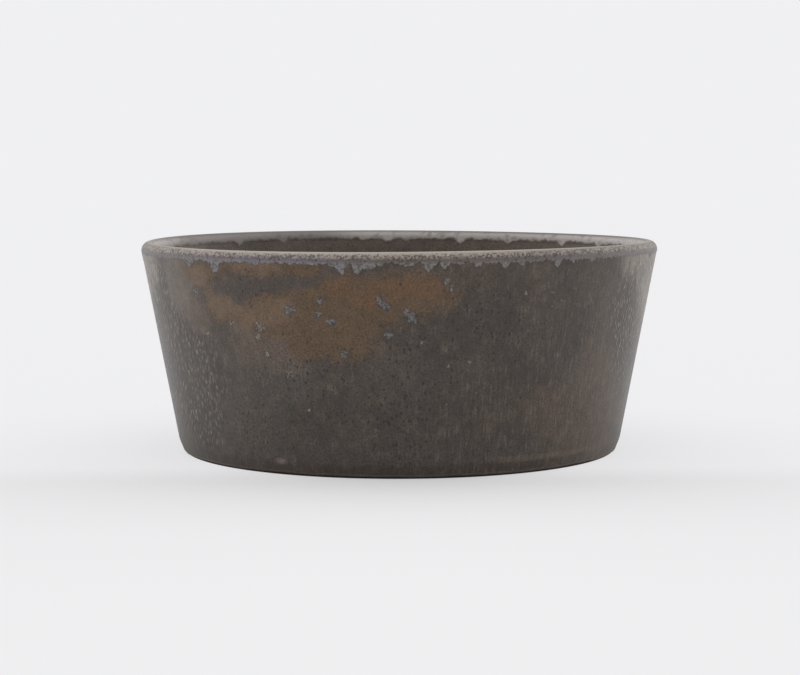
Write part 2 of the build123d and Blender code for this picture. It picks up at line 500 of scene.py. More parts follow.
@dataclass(frozen=True)
class IronGlaze:
    """Iron-saturate stoneware glaze, dipped: satin, near black-brown, rust where iron came out, with pale crystals."""

    name: str = "iron_saturate_glaze"
    tones: Tones = ((0.32, "#3c352f"), (0.5, "#463d36"), (0.68, "#4f453d"))
    # Paler towards the foot: painted light. Darker on the bevel: painted shade, as it faces down
    low: Layer = Layer("#4a433d", 26.0 * MM, 11.0 * MM, 0.85)  # by the height
    bevel: Layer = Layer("#463c35", 7.6 * MM, 6.0 * MM, 0.95)
    inside: Layer = Layer("#655850", 0.0, 1.0, 0.85)
    # Painted shade in the gaps between the raised dashes
    gap_shade: Layer = Layer("#2f2924", 0.4, 0.75, 0.5)
    pepper: Layer = Layer("#292320", 0.44, 0.32, 0.5)
    pit: Layer = Layer("#211c19", 0.34, 0.12, 0.75)
    fleck: Layer = Layer("#85796c", 0.17, 0.06, 0.6)
    halo: Layer = Layer("#332c29", 1.5, 1.8, 0.65)
    crystal_spark: Layer = Layer("#97989e", 1.8, 2.0, 0.55)
    ash_spark: Layer = Layer("#a89e93", 1.8, 2.0, 0.55)
    # Painted highlight on the bead at the lower edge of the coat
    foot_bead_highlight: Layer = Layer("#716a63", 0.9, 0.5, 0.34)
    roughness_least: float = 0.3
    roughness_most: float = 0.42
    inside_roughness: float = 0.2  # added inside
    specular: float = 0.42
    cloud_size: float = 26.0
    mottle_size: float = 4.5
    speckle_size: float = 0.85
    dash_spacing: float = 2.2
    dash_stretch: float = 1.4
    streak_size: float = 0.8
    streak_stretch: float = 11.0
    streak_radius: float = 112.0  # the streaks are drawn round a cylinder of this radius
    pit_spacing: float = 2.2
    pit_chance: Point = (0.1, 0.45)  # everywhere, and more where they crowd
    fleck_spacing: float = 2.9
    fleck_chance: Point = (0.16, 0.0)
    tear_size: float = 1.3
    patch_wander: Point = (16.0, 16.0)  # size of the wander of a patch's edge, and how far it goes
    cloud_wander: Point = (3.0, 8.0)
    dash_wander: Point = (2.0, 2.2)
    foot_wander: float = 2.0
    relief: float = 0.27
    broad_tints: tuple[Tint, ...] = (
        Tint("#514a43", 0.8, (Spot(-45.0, 40.0, 44.0), Spot(-40.0, 25.0, 36.0), Spot(-25.0, 44.0, 26.0))),
        Tint("#64554b", 0.85, (Spot(-34.0, 61.0, 22.0), Spot(-26.0, 57.0, 20.0), Spot(-50.0, 67.0, 18.0))),
        Tint(
            "#56483e",
            0.85,
            (Spot(46.0, 24.0, 36.0), Spot(53.0, 38.0, 30.0), Spot(34.0, 28.0, 18.0), Spot(60.0, 14.0, 26.0)),
        ),
        Tint("#4c4037", 0.7, (Spot(4.0, 88.0, 22.0), Spot(16.0, 86.0, 16.0)), 2.0),
        Tint("#6e6458", 0.6, (Spot(150.0, 86.0, 22.0), Spot(-145.0, 80.0, 24.0))),
        Tint("#4f4740", 0.5, (Spot(0.0, 45.0, 28.0), Spot(41.0, 45.0, 20.0))),
        Tint("#3b342e", 0.5, (Spot(26.0, 45.0, 20.0),)),
        Tint("#6b6056", 0.75, (Spot(-54.0, 88.0, 22.0), Spot(-56.0, 78.0, 20.0))),
    )
    # Pale patches high on the sides of the wall: partly pale glaze, partly painted sheen
    bloom: Tint = Tint(
        "#8a8076",
        0.82,
        (
            Spot(60.0, 93.0, 20.0), Spot(71.0, 89.0, 27.0), Spot(78.0, 74.0, 32.0), Spot(94.0, 82.0, 36.0),
            Spot(114.0, 80.0, 30.0), Spot(-69.0, 92.0, 18.0), Spot(-74.0, 94.0, 17.0), Spot(-78.0, 86.0, 30.0),
            Spot(-92.0, 78.0, 36.0), Spot(-112.0, 84.0, 28.0),
        ),
    )
    rust: Tint = Tint(
        "#5d4934",
        0.95,
        (
            Spot(-47.0, 87.0, 18.0), Spot(-38.0, 91.0, 17.0), Spot(-29.0, 91.0, 17.0), Spot(-20.0, 91.0, 16.0),
            Spot(-40.0, 73.0, 19.0), Spot(-31.0, 70.0, 22.0), Spot(-22.0, 71.0, 26.0), Spot(-12.0, 75.0, 28.0),
            Spot(-2.0, 78.0, 28.0), Spot(6.0, 80.0, 22.0), Spot(-11.0, 60.0, 22.0), Spot(-19.0, 59.0, 18.0),
        )
        + hidden_spots(7, 16.0, 14.0, 45.0, 86.0),
        1.5,
    )
    rust_tints: tuple[Tint, ...] = (
        Tint(
            "#6f5a48",
            0.8,
            (
                Spot(-41.0, 74.0, 15.0), Spot(-34.0, 69.0, 16.0), Spot(-26.0, 71.0, 14.0), Spot(-47.0, 84.0, 13.0),
                Spot(-35.0, 91.0, 12.0), Spot(-28.0, 91.0, 12.0),
            ),
            1.3,
        ),
        Tint(
            "#664a30",
            0.7,
            (Spot(0.0, 83.0, 12.0), Spot(6.5, 82.0, 13.0), Spot(-13.0, 83.0, 11.0), Spot(-6.0, 78.0, 13.0)),
            1.5,
        ),
    )
    dark_cloud: Tint = Tint(
        "#4a413b",
        0.95,
        (
            Spot(-40.0, 81.0, 12.0), Spot(-33.0, 82.0, 14.0), Spot(-26.0, 83.0, 13.0), Spot(-20.0, 84.5, 10.0),
            Spot(-36.0, 76.5, 8.0),
        ),
        2.2,
        0.2,
    )
    # Pale dashes where the glaze slipped: raised bumps with painted highlights on them
    slid_bumps_and_glints: Tint = Tint(
        "#8c857b",
        0.58,
        (
            Spot(-68.0, 76.0, 20.0), Spot(-62.0, 54.0, 26.0), Spot(-52.0, 42.0, 25.0), Spot(-65.0, 34.0, 30.0),
            Spot(-55.0, 24.0, 22.0), Spot(-76.0, 58.0, 30.0), Spot(-74.0, 40.0, 34.0), Spot(-84.0, 74.0, 38.0),
            Spot(-88.0, 40.0, 42.0), Spot(68.0, 74.0, 28.0), Spot(66.0, 54.0, 26.0), Spot(58.0, 70.0, 16.0),
            Spot(80.0, 80.0, 30.0),
        ),
        1.0,
        0.4,
    )
    # Where the dashes and their painted highlights go on round the back
    slid_bumps_and_glints_behind: Patches = Patches(
        (
            Spot(88.0, 38.0, 44.0), Spot(125.0, 45.0, 56.0), Spot(172.0, 62.0, 60.0), Spot(-128.0, 45.0, 60.0),
        ),
    )
    behind_share: float = 0.6  # of the dashes there
    streaked: Patches = Patches(
        (
            Spot(44.0, 40.0, 60.0), Spot(22.0, 22.0, 44.0), Spot(68.0, 30.0, 50.0), Spot(150.0, 35.0, 80.0),
            Spot(-110.0, 40.0, 70.0),
        ),
        1.0,
        0.3,
    )
    pitted: Patches = Patches(
        (
            Spot(18.0, 70.0, 26.0), Spot(24.0, 60.0, 18.0), Spot(-22.0, 42.0, 30.0), Spot(-6.0, 40.0, 32.0),
            Spot(7.0, 50.0, 26.0), Spot(-38.0, 20.0, 24.0), Spot(0.0, 18.0, 22.0), Spot(-32.0, 80.0, 14.0),
        ),
        1.0,
        0.2,
    )
    crystals: Tint = Tint(
        "#676a6a",
        0.78,
        (
            Spot(-48.5, 79.1, 3.4), Spot(-23.5, 72.5, 4.0), Spot(-17.2, 71.1, 2.8), Spot(-16.6, 76.7, 2.8),
            Spot(-14.3, 67.9, 3.3), Spot(-3.9, 76.9, 3.7), Spot(-2.6, 74.6, 3.0), Spot(2.6, 69.8, 3.9),
            Spot(1.6, 72.0, 2.6), Spot(-2.2, 62.6, 3.0), Spot(-11.9, 54.3, 3.3), Spot(9.6, 84.8, 2.6),
            Spot(10.6, 82.4, 2.2),
        )
        + hidden_spots(12, 2.2, 2.0, 40.0, 86.0),
        1.0,
        0.1,
    )
    ashes: Tint = Tint(
        "#787067",
        0.95,
        (
            Spot(-31.2, 64.7, 4.3), Spot(-31.6, 59.9, 2.7), Spot(-29.7, 53.2, 2.8), Spot(-24.9, 45.0, 3.0),
            Spot(27.1, 79.7, 1.8), Spot(-20.8, 29.2, 1.7), Spot(-38.7, 66.1, 2.2), Spot(-46.8, 60.0, 2.4),
            Spot(-60.1, 71.6, 2.4), Spot(-59.8, 68.0, 2.2), Spot(15.1, 50.7, 1.5), Spot(10.5, 49.2, 1.5),
            Spot(4.8, 59.2, 1.3), Spot(36.3, 75.6, 1.2), Spot(33.7, 78.8, 1.2),
        ),
        1.0,
        0.1,
    )
    pooled: Tint = Tint(
        "#443930",
        0.7,
        (
            Spot(-138.0, 90.0, 26.0), Spot(-125.0, 88.0, 22.0), Spot(-150.0, 78.0, 24.0), Spot(100.0, 60.0, 34.0),
            Spot(20.0, 40.0, 40.0),
        ),
        2.0,
    )
    thin_spot: Tint = Tint("#7d7068", 0.8, (Spot(-29.4, 6.3, 5.0),), 2.0)
    # A paler line just above the bevel, on the right
    arris_line: Tint = Tint("#65594d", 0.6, (Spot(28.0, 7.3, 22.0), Spot(38.0, 7.2, 24.0), Spot(48.0, 7.1, 18.0)), 9.0)
    pinhole: Tint = Tint("#100d0b", 0.9, (Spot(63.7, 13.6, 0.8),), 1.0, 0.3)

    def cover(self, tree: Tree, place: Socket, patches: Patches | Tint) -> Socket:
        """Share of the surface that patches cover.

        Args:
            tree: Node tree of the material.
            place: Object coordinates, pushed about where the patches have ragged edges.
            patches: The patches.

        Returns:
            A socket from 0 to 1.
        """
        flat = add_node(tree, "Mapping", {}, {"Vector": place, "Scale": (1.0, 1.0, patches.flatness)}).outputs["Vector"]
        vessel = Vessel()
        total = None
        for spot in patches.spots:
            centre = vessel.wall_point(spot.angle, spot.height)
            centre.z *= patches.flatness
            away = add_node(tree, "VectorMath", {"operation": "DISTANCE"}, {0: flat, 1: centre})
            patch = add_node(
                tree,
                "MapRange",
                {"interpolation_type": "SMOOTHSTEP"},
                {
                    "Value": away.outputs["Value"],
                    "From Min": spot.reach * MM,
                    "From Max": spot.reach * patches.core * MM,
                },
            ).outputs["Result"]
            if total is None:
                total = patch
            else:
                total = add_node(tree, "Math", {"operation": "ADD", "use_clamp": True}, {0: total, 1: patch}).outputs[0]
        return total

    def push(self, tree: Tree, place: Socket, size: float, reach: float) -> Socket:
        """Push the coordinates about, so that a patch gets a wandering edge.

        Args:
            tree: Node tree of the material.
            place: Object coordinates.
            size: Size of the wander in millimetres.
            reach: How far it goes in millimetres.

        Returns:
            The pushed coordinates.
        """
        sway = add_node(
            tree, "TexNoise", {}, {"Vector": place, "Scale": per_metre(size), "Detail": 4.0, "Roughness": 0.62}
        )
        centred = add_node(
            tree, "VectorMath", {"operation": "SUBTRACT"}, {0: sway.outputs["Color"], 1: (0.5, 0.5, 0.5)}
        )
        pushed = add_node(
            tree,
            "VectorMath",
            {"operation": "MULTIPLY_ADD"},
            {0: centred.outputs["Vector"], 1: (reach * MM, reach * MM, reach * MM), 2: place},
        )
        return pushed.outputs["Vector"]

    def tinted(self, tree: Tree, under: Socket, place: Socket, tint: Tint) -> Socket:
        """Lay the patches of a tint over what is painted so far.

        Args:
            tree: Node tree of the material.
            under: Colour so far.
            place: Object coordinates, pushed about where the patches have ragged edges.
            tint: The patches.

        Returns:
            The colour after that.
        """
        return lay(tree, under, tint.layer(), self.cover(tree, place, tint))

    def paint(self, tree: Tree, place: Socket) -> Coat:
        """Paint the glaze.

        Args:
            tree: Node tree of the material.
            place: Object coordinates.

        Returns:
            Its colour, relief and gloss.
        """
        height = add_node(tree, "SeparateXYZ", {}, {"Vector": place}).outputs["Z"]
        level = add_node(
            tree, "VectorMath", {"operation": "MULTIPLY"}, {0: place, 1: (1.0, 1.0, 0.0)}
        ).outputs["Vector"]
        radius = add_node(tree, "VectorMath", {"operation": "LENGTH"}, {0: level}).outputs["Value"]
        outwards = add_node(tree, "VectorMath", {"operation": "NORMALIZE"}, {0: level}).outputs["Vector"]
        around = add_node(
            tree, "VectorMath", {"operation": "SCALE"}, {0: outwards, "Scale": self.streak_radius * MM}
        ).outputs["Vector"]
        slope = math.tan(math.radians(Vessel.wall_lean))
        leaning = weigh(tree, radius, (height, -slope))
        middle = Vessel.lip_middle[0] - Vessel.lip_middle[1] * slope
        within = add_node(
            tree, "MapRange", {}, {"Value": leaning, "From Min": (middle + 1.0) * MM, "From Max": (middle - 1.0) * MM}
        ).outputs["Result"]

        # Coordinates that follow the leaning wall outside, so that long streaks run straight down it
        flowing = []
        for stretch in (self.dash_stretch, self.streak_stretch):
            outer = add_node(
                tree, "VectorMath", {"operation": "MULTIPLY_ADD"}, {0: place, 1: (0.0, 0.0, 1.0 / stretch), 2: around}
            ).outputs["Vector"]
            flowing.append(add_node(tree, "Mix", {"data_type": "VECTOR"}, {0: within, 4: outer, 5: place}).outputs[1])
        dashed, streaked = flowing
        pushed = self.push(tree, place, *self.patch_wander)
        frayed = self.push(tree, place, *self.cloud_wander)
        clouds, mottle, speckle, streak, tear = (
            add_node(
                tree, "TexNoise", {}, {"Vector": where, "Scale": per_metre(size), "Detail": detail, "Roughness": 0.6}
            ).outputs["Fac"]
            for where, size, detail in (
                (place, self.cloud_size, 3.0),
                (place, self.mottle_size, 4.0),
                (place, self.speckle_size, 2.5),
                (streaked, self.streak_size, 2.0),
                (place, self.tear_size, 3.0),
            )
        )

        # Ground, dark brown where the coat is thick and lighter where it is thin
        shown = add_node(tree, "ValToRGB", {"stops": self.tones}, {"Fac": clouds}).outputs["Color"]

        # Painted light paler towards the foot, and painted shade on the bevel, which faces down
        wavering = weigh(tree, height, (mottle, self.foot_wander * MM))
        shown = lay(tree, shown, self.low, wavering)
        shown = lay(tree, shown, self.bevel, wavering)

        # Broad tints, then pale bloom, partly painted sheen, and rust with eaten edges, broken by a dark cloud
        for tint in self.broad_tints:
            shown = self.tinted(tree, shown, pushed, tint)
        for tint, patterns, first, last in (
            (self.bloom, ((streak, 1.0), (mottle, 0.9)), 0.9, 2.1),
            (self.rust, ((speckle, 0.63), (mottle, 0.7)), 0.72, 1.5),
        ):
            eaten = weigh(tree, self.cover(tree, pushed, tint), *patterns)
            shown = lay(tree, shown, tint.layer(first, last), eaten)
        for tint in self.rust_tints:
            shown = self.tinted(tree, shown, pushed, tint)
        shown = self.tinted(tree, shown, frayed, self.dark_cloud)
        for tint in (self.arris_line, self.thin_spot, self.pinhole):
            shown = self.tinted(tree, shown, place, tint)

        # Browner inside, with darker pools
        shown = lay(tree, shown, self.inside, within)
        shown = lay(tree, shown, self.pooled.layer(), self.cover(tree, pushed, self.pooled), within)

        # Short upright dashes outside, where the glaze slipped as it melted: raised bumps, painted highlights on them
        # and painted shade between them
        thinner = self.cover(tree, pushed, self.slid_bumps_and_glints_behind)
        slid_bumps_and_glints = add_node(
            tree,
            "Math",
            {"operation": "MULTIPLY_ADD", "use_clamp": True},
            {0: thinner, 1: self.behind_share, 2: self.cover(tree, pushed, self.slid_bumps_and_glints)},
        ).outputs[0]
        patchy = add_node(tree, "MapRange", {}, {"Value": clouds, "From Min": 0.25, "From Max": 0.42}).outputs["Result"]
        slid_bumps_and_glints = add_node(tree, "Math", {"operation": "MULTIPLY"}, {0: slid_bumps_and_glints, 1: patchy}).outputs[0]
        slid_bumps_and_glints = add_node(tree, "Math", {"operation": "SUBTRACT", "use_clamp": True}, {0: slid_bumps_and_glints, 1: within}).outputs[0]
        crooked = self.push(tree, dashed, *self.dash_wander)
        dashes = add_node(tree, "TexVoronoi", {}, {"Vector": crooked, "Scale": per_metre(self.dash_spacing)})
        dash = add_node(
            tree,
            "MapRange",
            {"interpolation_type": "SMOOTHSTEP"},
            {"Value": dashes.outputs["Distance"], "From Min": 0.48, "From Max": 0.1},
        ).outputs["Result"]
        shown = lay(tree, shown, self.slid_bumps_and_glints.layer(0.05, 0.85), dashes.outputs["Color"], dash, slid_bumps_and_glints)
        shown = lay(tree, shown, self.gap_shade, dashes.outputs["Distance"], slid_bumps_and_glints)

        # Fine speckle everywhere, and thin streaks in places, most of them on the right
        streaky = self.cover(tree, pushed, self.streaked)
        streaks = add_node(tree, "Math", {"operation": "MULTIPLY"}, {0: streak, 1: streaky}).outputs[0]
        shade = weigh(tree, -0.2, (mottle, 0.7), (speckle, 1.7), (streaks, 0.96), (streaky, -0.48))
        shown = add_node(tree, "VectorMath", {"operation": "SCALE"}, {0: shown, "Scale": shade}).outputs["Vector"]

        # Dark pits, thickest in some places, and pale flecks
        crowded = self.cover(tree, pushed, self.pitted)
        shown = lay(tree, shown, self.pepper, speckle, crowded)
        hollows = []
        for spacing, (chance, crowding), layer in (
            (self.pit_spacing, self.pit_chance, self.pit),
            (self.fleck_spacing, self.fleck_chance, self.fleck),
        ):
            dots = add_node(tree, "TexVoronoi", {}, {"Vector": dashed, "Scale": per_metre(spacing)})
            likely = weigh(tree, chance, (crowded, crowding))
            there = add_node(
                tree, "Math", {"operation": "LESS_THAN"}, {0: dots.outputs["Color"], 1: likely}
            ).outputs[0]
            shown = lay(tree, shown, layer, dots.outputs["Distance"], there)
            hollows.append((dots.outputs["Distance"], there))
        away, there = hollows[0]
        hole = add_node(
            tree, "MapRange", {}, {"Value": away, "From Min": self.pit.first, "From Max": self.pit.last}
        ).outputs["Result"]
        pit = add_node(tree, "Math", {"operation": "MULTIPLY"}, {0: hole, 1: there}).outputs[0]

        # Blue-grey crystals and pale ash: ragged, grainy, each in a dark halo and with a few sparks
        grainy = weigh(tree, tear, (speckle, 2.2))
        for tint, spark in ((self.crystals, self.crystal_spark), (self.ashes, self.ash_spark)):
            near = self.cover(tree, place, tint)
            torn = weigh(tree, near, (tear, 2.6))
            close, there = (
                add_node(
                    tree, "MapRange", {}, {"Value": value, "From Min": first, "From Max": last}
                ).outputs["Result"]
                for value, first, last in ((near, 0.05, 0.3), (torn, 1.75, 2.05))
            )
            shown = lay(tree, shown, self.halo, torn, close)
            shown = lay(tree, shown, tint.layer(1.3, 1.65), grainy, close, there)
            shown = lay(tree, shown, spark, grainy, close, there)

        # Relief: dashes where the glaze slid, a fine tooth elsewhere, and pits
        raised = add_node(tree, "Math", {"operation": "MULTIPLY"}, {0: dash, 1: slid_bumps_and_glints}).outputs[0]
        relief = weigh(tree, 0.0, (raised, 0.9), (speckle, 0.45), (streak, 0.15), (mottle, 0.5), (pit, -0.5))
        gloss = add_node(
            tree,
            "MapRange",
            {},
            {
                "Value": speckle,
                "From Min": 0.3,
                "From Max": 0.7,
                "To Min": self.roughness_least,
                "To Max": self.roughness_most,
            },
        ).outputs["Result"]
        return Coat(shown, relief, weigh(tree, gloss, (within, self.inside_roughness)))

    def make(self) -> Material:
        """Make the material.

        Returns:
            The material.
        """
        material, tree, shader, place = new_material(self.name)
        coat = self.paint(tree, place)
        foot = add_node(tree, "Attribute", {"attribute_name": "foot_mm"}, {}).outputs["Fac"]
        bead = add_node(tree, "MapRange", {}, {"Value": foot, "From Min": 0.0, "From Max": 0.25}).outputs["Result"]
        # Painted highlight on the bead along the coat's lower edge
        shown = lay(tree, coat.colour, self.foot_bead_highlight, foot, bead)
        skin(tree, shader, shown, coat.relief, 1.0, self.relief)
        tree.links.new(coat.gloss, shader.inputs["Roughness"])
        shader.inputs["Specular IOR Level"].default_value = self.specular
        return material


@dataclass(frozen=True)
class RimGlaze:
    """Pale rutile glaze brushed over the lip: beige on the crest, stippled, violet to blue-grey where it pooled.

    Its edges are thin, so the iron glaze under it shows there.
    """

    name: str = "rutile_rim_glaze"
    under: IronGlaze = IronGlaze()
    thin_tones: Tones = (  # by millimetres from the crest
        (2.0, "#a79e95"), (3.0, "#9b9187"), (3.7, "#8e847a"), (4.4, "#867b72"), (5.0, "#6f655d"), (5.7, "#5f5550"),
        (6.3, "#6b655f"), (7.2, "#7b7671"), (8.6, "#706d6a"),
    )
    thick_tones: Tones = (
        (2.0, "#aca39a"), (2.8, "#9d9389"), (3.6, "#8c847d"), (4.3, "#807880"), (5.0, "#6d6572"), (5.6, "#6d656e"),
        (6.2, "#7c7677"), (7.2, "#808084"), (8.6, "#7b7d83"),
    )
    crowding: tuple[Point, ...] = (  # of the stipple, thickest above the widest line of the lip
        (0.14, 0.0), (0.22, 0.75), (0.3, 1.0), (0.46, 1.05), (0.54, 0.85), (0.64, 0.75), (0.75, 0.6),
    )
    # Painted shade below the crest at the sides of the bowl
    right_shade: Layer = Layer("#5e5650", 0.07, 0.26, 0.55)
    left_shade: Layer = Layer("#5e5650", 0.07, 0.26, 0.4)
    stipple: Layer = Layer("#3a302a", 0.4, 0.7, 0.68)
    grain: Layer = Layer("#c6b8a6", 1.45, 1.75, 0.32)
    inside: Layer = Layer("#bdb6b2", -1.0, -2.6, 0.92)  # by the distance from the crest
    inside_left: Layer = Layer("#7b7571", -12.0 * MM, -45.0 * MM, 0.85)  # by the distance to the right
    inside_blotch: Layer = Layer("#6f6760", 0.5, 0.66, 0.5)
    back_crest: tuple[Layer, ...] = (Layer("#5b5754", -3.6, -2.0, 0.55), Layer("#5b5754", -2.4, -1.2, 0.6))
    run_light: Layer = Layer("#93918f", 0.34, 0.12, 0.48)
    run_dark: Layer = Layer("#3a302a", 0.45, 0.7, 0.55)
    # Pale line at the torn edge: pale glaze and a painted highlight on its bead
    pale_edge_and_highlight: Layer = Layer("#9c928b", 3.0, 2.4, 0.35)
    # Painted shadow just below the torn edge
    edge_shadow: Layer = Layer("#241e1a", 1.3, 2.0, 0.45)
    roughness: float = 0.5
    curdle_size: float = 1.3
    curdle_reach: float = 1.6  # the tones curdle this far up and down
    stipple_size: float = 0.85
    blotch_size: float = 4.5
    cell_size: float = 1.3
    tear_reach: float = 3.4
    side_narrowing: float = 0.7  # the beige crest is this much narrower at the sides of the bowl
    zone_start: float = 0.8
    zone_length: float = 10.0
    relief_strength: float = 0.6
    relief: float = 0.13

    def make(self) -> Material:
        """Make the material.

        Returns:
            The material.
        """
        material, tree, shader, place = new_material(self.name)
        under = self.under.paint(tree, place)
        lip, edge, thickness = (
            add_node(tree, "Attribute", {"attribute_name": name}, {}).outputs["Fac"]
            for name in ("lip_mm", "edge_mm", "thickness")
        )
        curdle, stipple, blotch = (
            add_node(
                tree, "TexNoise", {}, {"Vector": place, "Scale": per_metre(size), "Detail": detail, "Roughness": 0.6}
            ).outputs["Fac"]
            for size, detail in ((self.curdle_size, 4.0), (self.stipple_size, 2.0), (self.blotch_size, 3.0))
        )
        cells = add_node(tree, "TexVoronoi", {}, {"Vector": place, "Scale": per_metre(self.cell_size)})
        sideways, depth = (add_node(tree, "SeparateXYZ", {}, {"Vector": place}).outputs[axis] for axis in ("X", "Y"))

        # Masks: what each follows, where it begins and is full, and its most
        side, right, left, corner, pale, behind, within, outside, beyond, broken = (
            add_node(
                tree, "MapRange", {}, {"Value": value, "From Min": first, "From Max": last, "To Max": most}
            ).outputs["Result"]
            for value, first, last, most in (
                (depth, -112.0 * MM, -76.0 * MM, self.side_narrowing),
                (sideways, 16.0 * MM, 64.0 * MM, 1.0),
                (sideways, -84.0 * MM, -106.0 * MM, 1.0),
                (sideways, -114.0 * MM, -104.0 * MM, 1.0),
                (lip, 5.2, 4.2, 1.0),
                (depth, -20.0 * MM, 60.0 * MM, 1.0),
                (lip, -0.5, -2.0, 1.0),
                (lip, 0.0, 2.0, 1.0),
                (lip, 5.8, 7.0, 1.0),
                (curdle, 0.42, 0.6, 1.0),
            )
        )
        down = add_node(tree, "Math", {"operation": "ABSOLUTE"}, {0: lip}).outputs[0]
        belt = add_node(tree, "Math", {"operation": "ADD"}, {0: down, 1: side}).outputs[0]

        # Tones from the crest downwards, for a thin and a thick coat
        zone_end = self.zone_start + self.zone_length
        zone = add_node(
            tree,
            "MapRange",
            {},
            {
                "Value": weigh(tree, belt, (curdle, self.curdle_reach)),
                "From Min": self.zone_start,
                "From Max": zone_end,
            },
        ).outputs["Result"]
        thin, thick, crowd = (
            add_node(tree, "ValToRGB", {"stops": stops}, {"Fac": zone}).outputs["Color"]
            for stops in (
                [(millimetres / self.zone_length, colour) for millimetres, colour in self.thin_tones],
                [(millimetres / self.zone_length, colour) for millimetres, colour in self.thick_tones],
                [(position, (share, share, share, 1.0)) for position, share in self.crowding],
            )
        )
        shown = add_node(tree, "Mix", {"data_type": "RGBA"}, {0: thickness, 6: thin, 7: thick}).outputs[2]

        # Painted shade below the crest at the sides of the bowl
        for shade, mask in ((self.right_shade, right), (self.left_shade, left)):
            shown = lay(tree, shown, shade, zone, mask)

        # Iron stipple, and pale grains on the crest
        dots = add_node(tree, "TexVoronoi", {}, {"Vector": place, "Scale": per_metre(self.stipple_size)})
        dark, light = (
            weigh(tree, crowd, (dots.outputs["Color"], chance), (dots.outputs["Distance"], -0.6), (stipple, 0.5))
            for chance in (-1.0, 1.0)
        )
        shown = lay(tree, shown, self.stipple, dark)
        shown = lay(tree, shown, self.grain, light, pale)

        # Greyer crest at the back, paler and blotched inside, curdled in the runs
        shown = lay(tree, shown, self.inside, lip)
        shown = lay(tree, shown, self.inside_left, sideways, within, corner)
        shown = lay(tree, shown, self.inside_blotch, blotch, within)
        for layer in self.back_crest:
            shown = lay(tree, shown, layer, lip, behind)
        for layer in (self.run_light, self.run_dark):
            shown = lay(tree, shown, layer, cells.outputs["Distance"], beyond)

        # Outside it ends in a torn edge with a pale line, partly a painted highlight, and a painted shadow just below
        # it; inside it fades out
        torn, faded = (weigh(tree, edge, (pattern, self.tear_reach)) for pattern in (curdle, blotch))
        shown = lay(tree, shown, self.pale_edge_and_highlight, torn, beyond, broken)
        bare = lay(tree, under.colour, self.edge_shadow, torn, outside)
        ends = [
            add_node(
                tree,
                "MapRange",
                {"interpolation_type": "SMOOTHSTEP"},
                {"Value": value, "From Min": first, "From Max": last},
            ).outputs["Result"]
            for value, first, last in ((faded, 1.9, 3.6), (torn, 1.8, 2.6))
        ]
        cover = add_node(tree, "Mix", {}, {0: outside, 2: ends[0], 3: ends[1]}).outputs[0]
        shown = add_node(tree, "Mix", {"data_type": "RGBA"}, {0: cover, 6: bare, 7: shown}).outputs[2]
        gloss = add_node(tree, "Mix", {}, {0: cover, 2: under.gloss, 3: self.roughness}).outputs[0]
        skin(tree, shader, shown, weigh(tree, curdle, (stipple, 0.5)), self.relief_strength, self.relief)
        tree.links.new(gloss, shader.inputs["Roughness"])
        shader.inputs["Specular IOR Level"].default_value = self.under.specular
        return material


@dataclass(frozen=True)
class CastAlloy:
    """Lead-tin alloy, gravity cast: dull blue-grey metal with a sandy skin and darker oxide in patches."""

    name: str = "cast_lead_alloy"
    tones: Tones = ((0.34, "#6b6e72"), (0.66, "#94979b"))
    roughness_least: float = 0.5
    roughness_most: float = 0.68
    patch_size: float = 9.0
    skin_size: float = 0.5
    relief_strength: float = 0.4
    relief: float = 0.1

    def make(self) -> Material:
        """Make the material.

        Returns:
            The material.
        """
        material, tree, shader, place = new_material(self.name)
        patches, sandy = (
            add_node(
                tree, "TexNoise", {}, {"Vector": place, "Scale": per_metre(size), "Detail": detail, "Roughness": uneven}
            ).outputs["Fac"]
            for size, detail, uneven in ((self.patch_size, 6.0, 0.62), (self.skin_size, 3.0, 0.6))
        )
        tone = add_node(tree, "ValToRGB", {"stops": self.tones}, {"Fac": patches}).outputs["Color"]
        dull = add_node(
            tree,
            "MapRange",
            {},
            {
                "Value": patches,
                "From Min": 0.3,
                "From Max": 0.7,
                "To Min": self.roughness_most,
                "To Max": self.roughness_least,
            },
        )
        skin(tree, shader, tone, sandy, self.relief_strength, self.relief)
        tree.links.new(dull.outputs["Result"], shader.inputs["Roughness"])
        shader.inputs["Metallic"].default_value = 1.0
        return material


@dataclass(frozen=True)
class DrawnBrass:
    """Drawn brass wire with ground points: warm yellow metal, bright at the tips, browned by water lower down."""

    name: str = "drawn_brass"
    bright: str = "#ecd08c"
    brown: str = "#b3924f"
    roughness: float = 0.4
    water_line: float = 30.0
    clear_line: float = 36.0
    stain_size: float = 3.5
    stain_reach: float = 10.0
    least_bright: float = 0.15
    draw_size: float = 0.35
    draw_stretch: float = 12.0
    relief_strength: float = 0.2
    relief: float = 0.03

    def make(self) -> Material:
        """Make the material.

        Returns:
            The material.
        """
        material, tree, shader, place = new_material(self.name)
        height = add_node(tree, "SeparateXYZ", {}, {"Vector": place}).outputs["Z"]
        drawn = add_node(
            tree, "Mapping", {}, {"Vector": place, "Scale": (1.0, 1.0, 1.0 / self.draw_stretch)}
        ).outputs["Vector"]
        stain, lines = (
            add_node(
                tree, "TexNoise", {}, {"Vector": where, "Scale": per_metre(size), "Detail": detail, "Roughness": uneven}
            ).outputs["Fac"]
            for where, size, detail, uneven in ((place, self.stain_size, 4.0, 0.6), (drawn, self.draw_size, 2.0, 0.5))
        )
        clean = add_node(
            tree,
            "MapRange",
            {"interpolation_type": "SMOOTHSTEP"},
            {
                "Value": weigh(tree, height, (stain, self.stain_reach * MM)),
                "From Min": self.water_line * MM,
                "From Max": self.clear_line * MM,
                "To Min": self.least_bright,
                "To Max": 1.0,
            },
        ).outputs["Result"]
        tone = add_node(
            tree, "Mix", {"data_type": "RGBA"}, {0: clean, 6: linear(self.brown), 7: linear(self.bright)}
        ).outputs[2]
        skin(tree, shader, tone, lines, self.relief_strength, self.relief)
        shader.inputs["Metallic"].default_value = 1.0
        shader.inputs["Roughness"].default_value = self.roughness
        return material


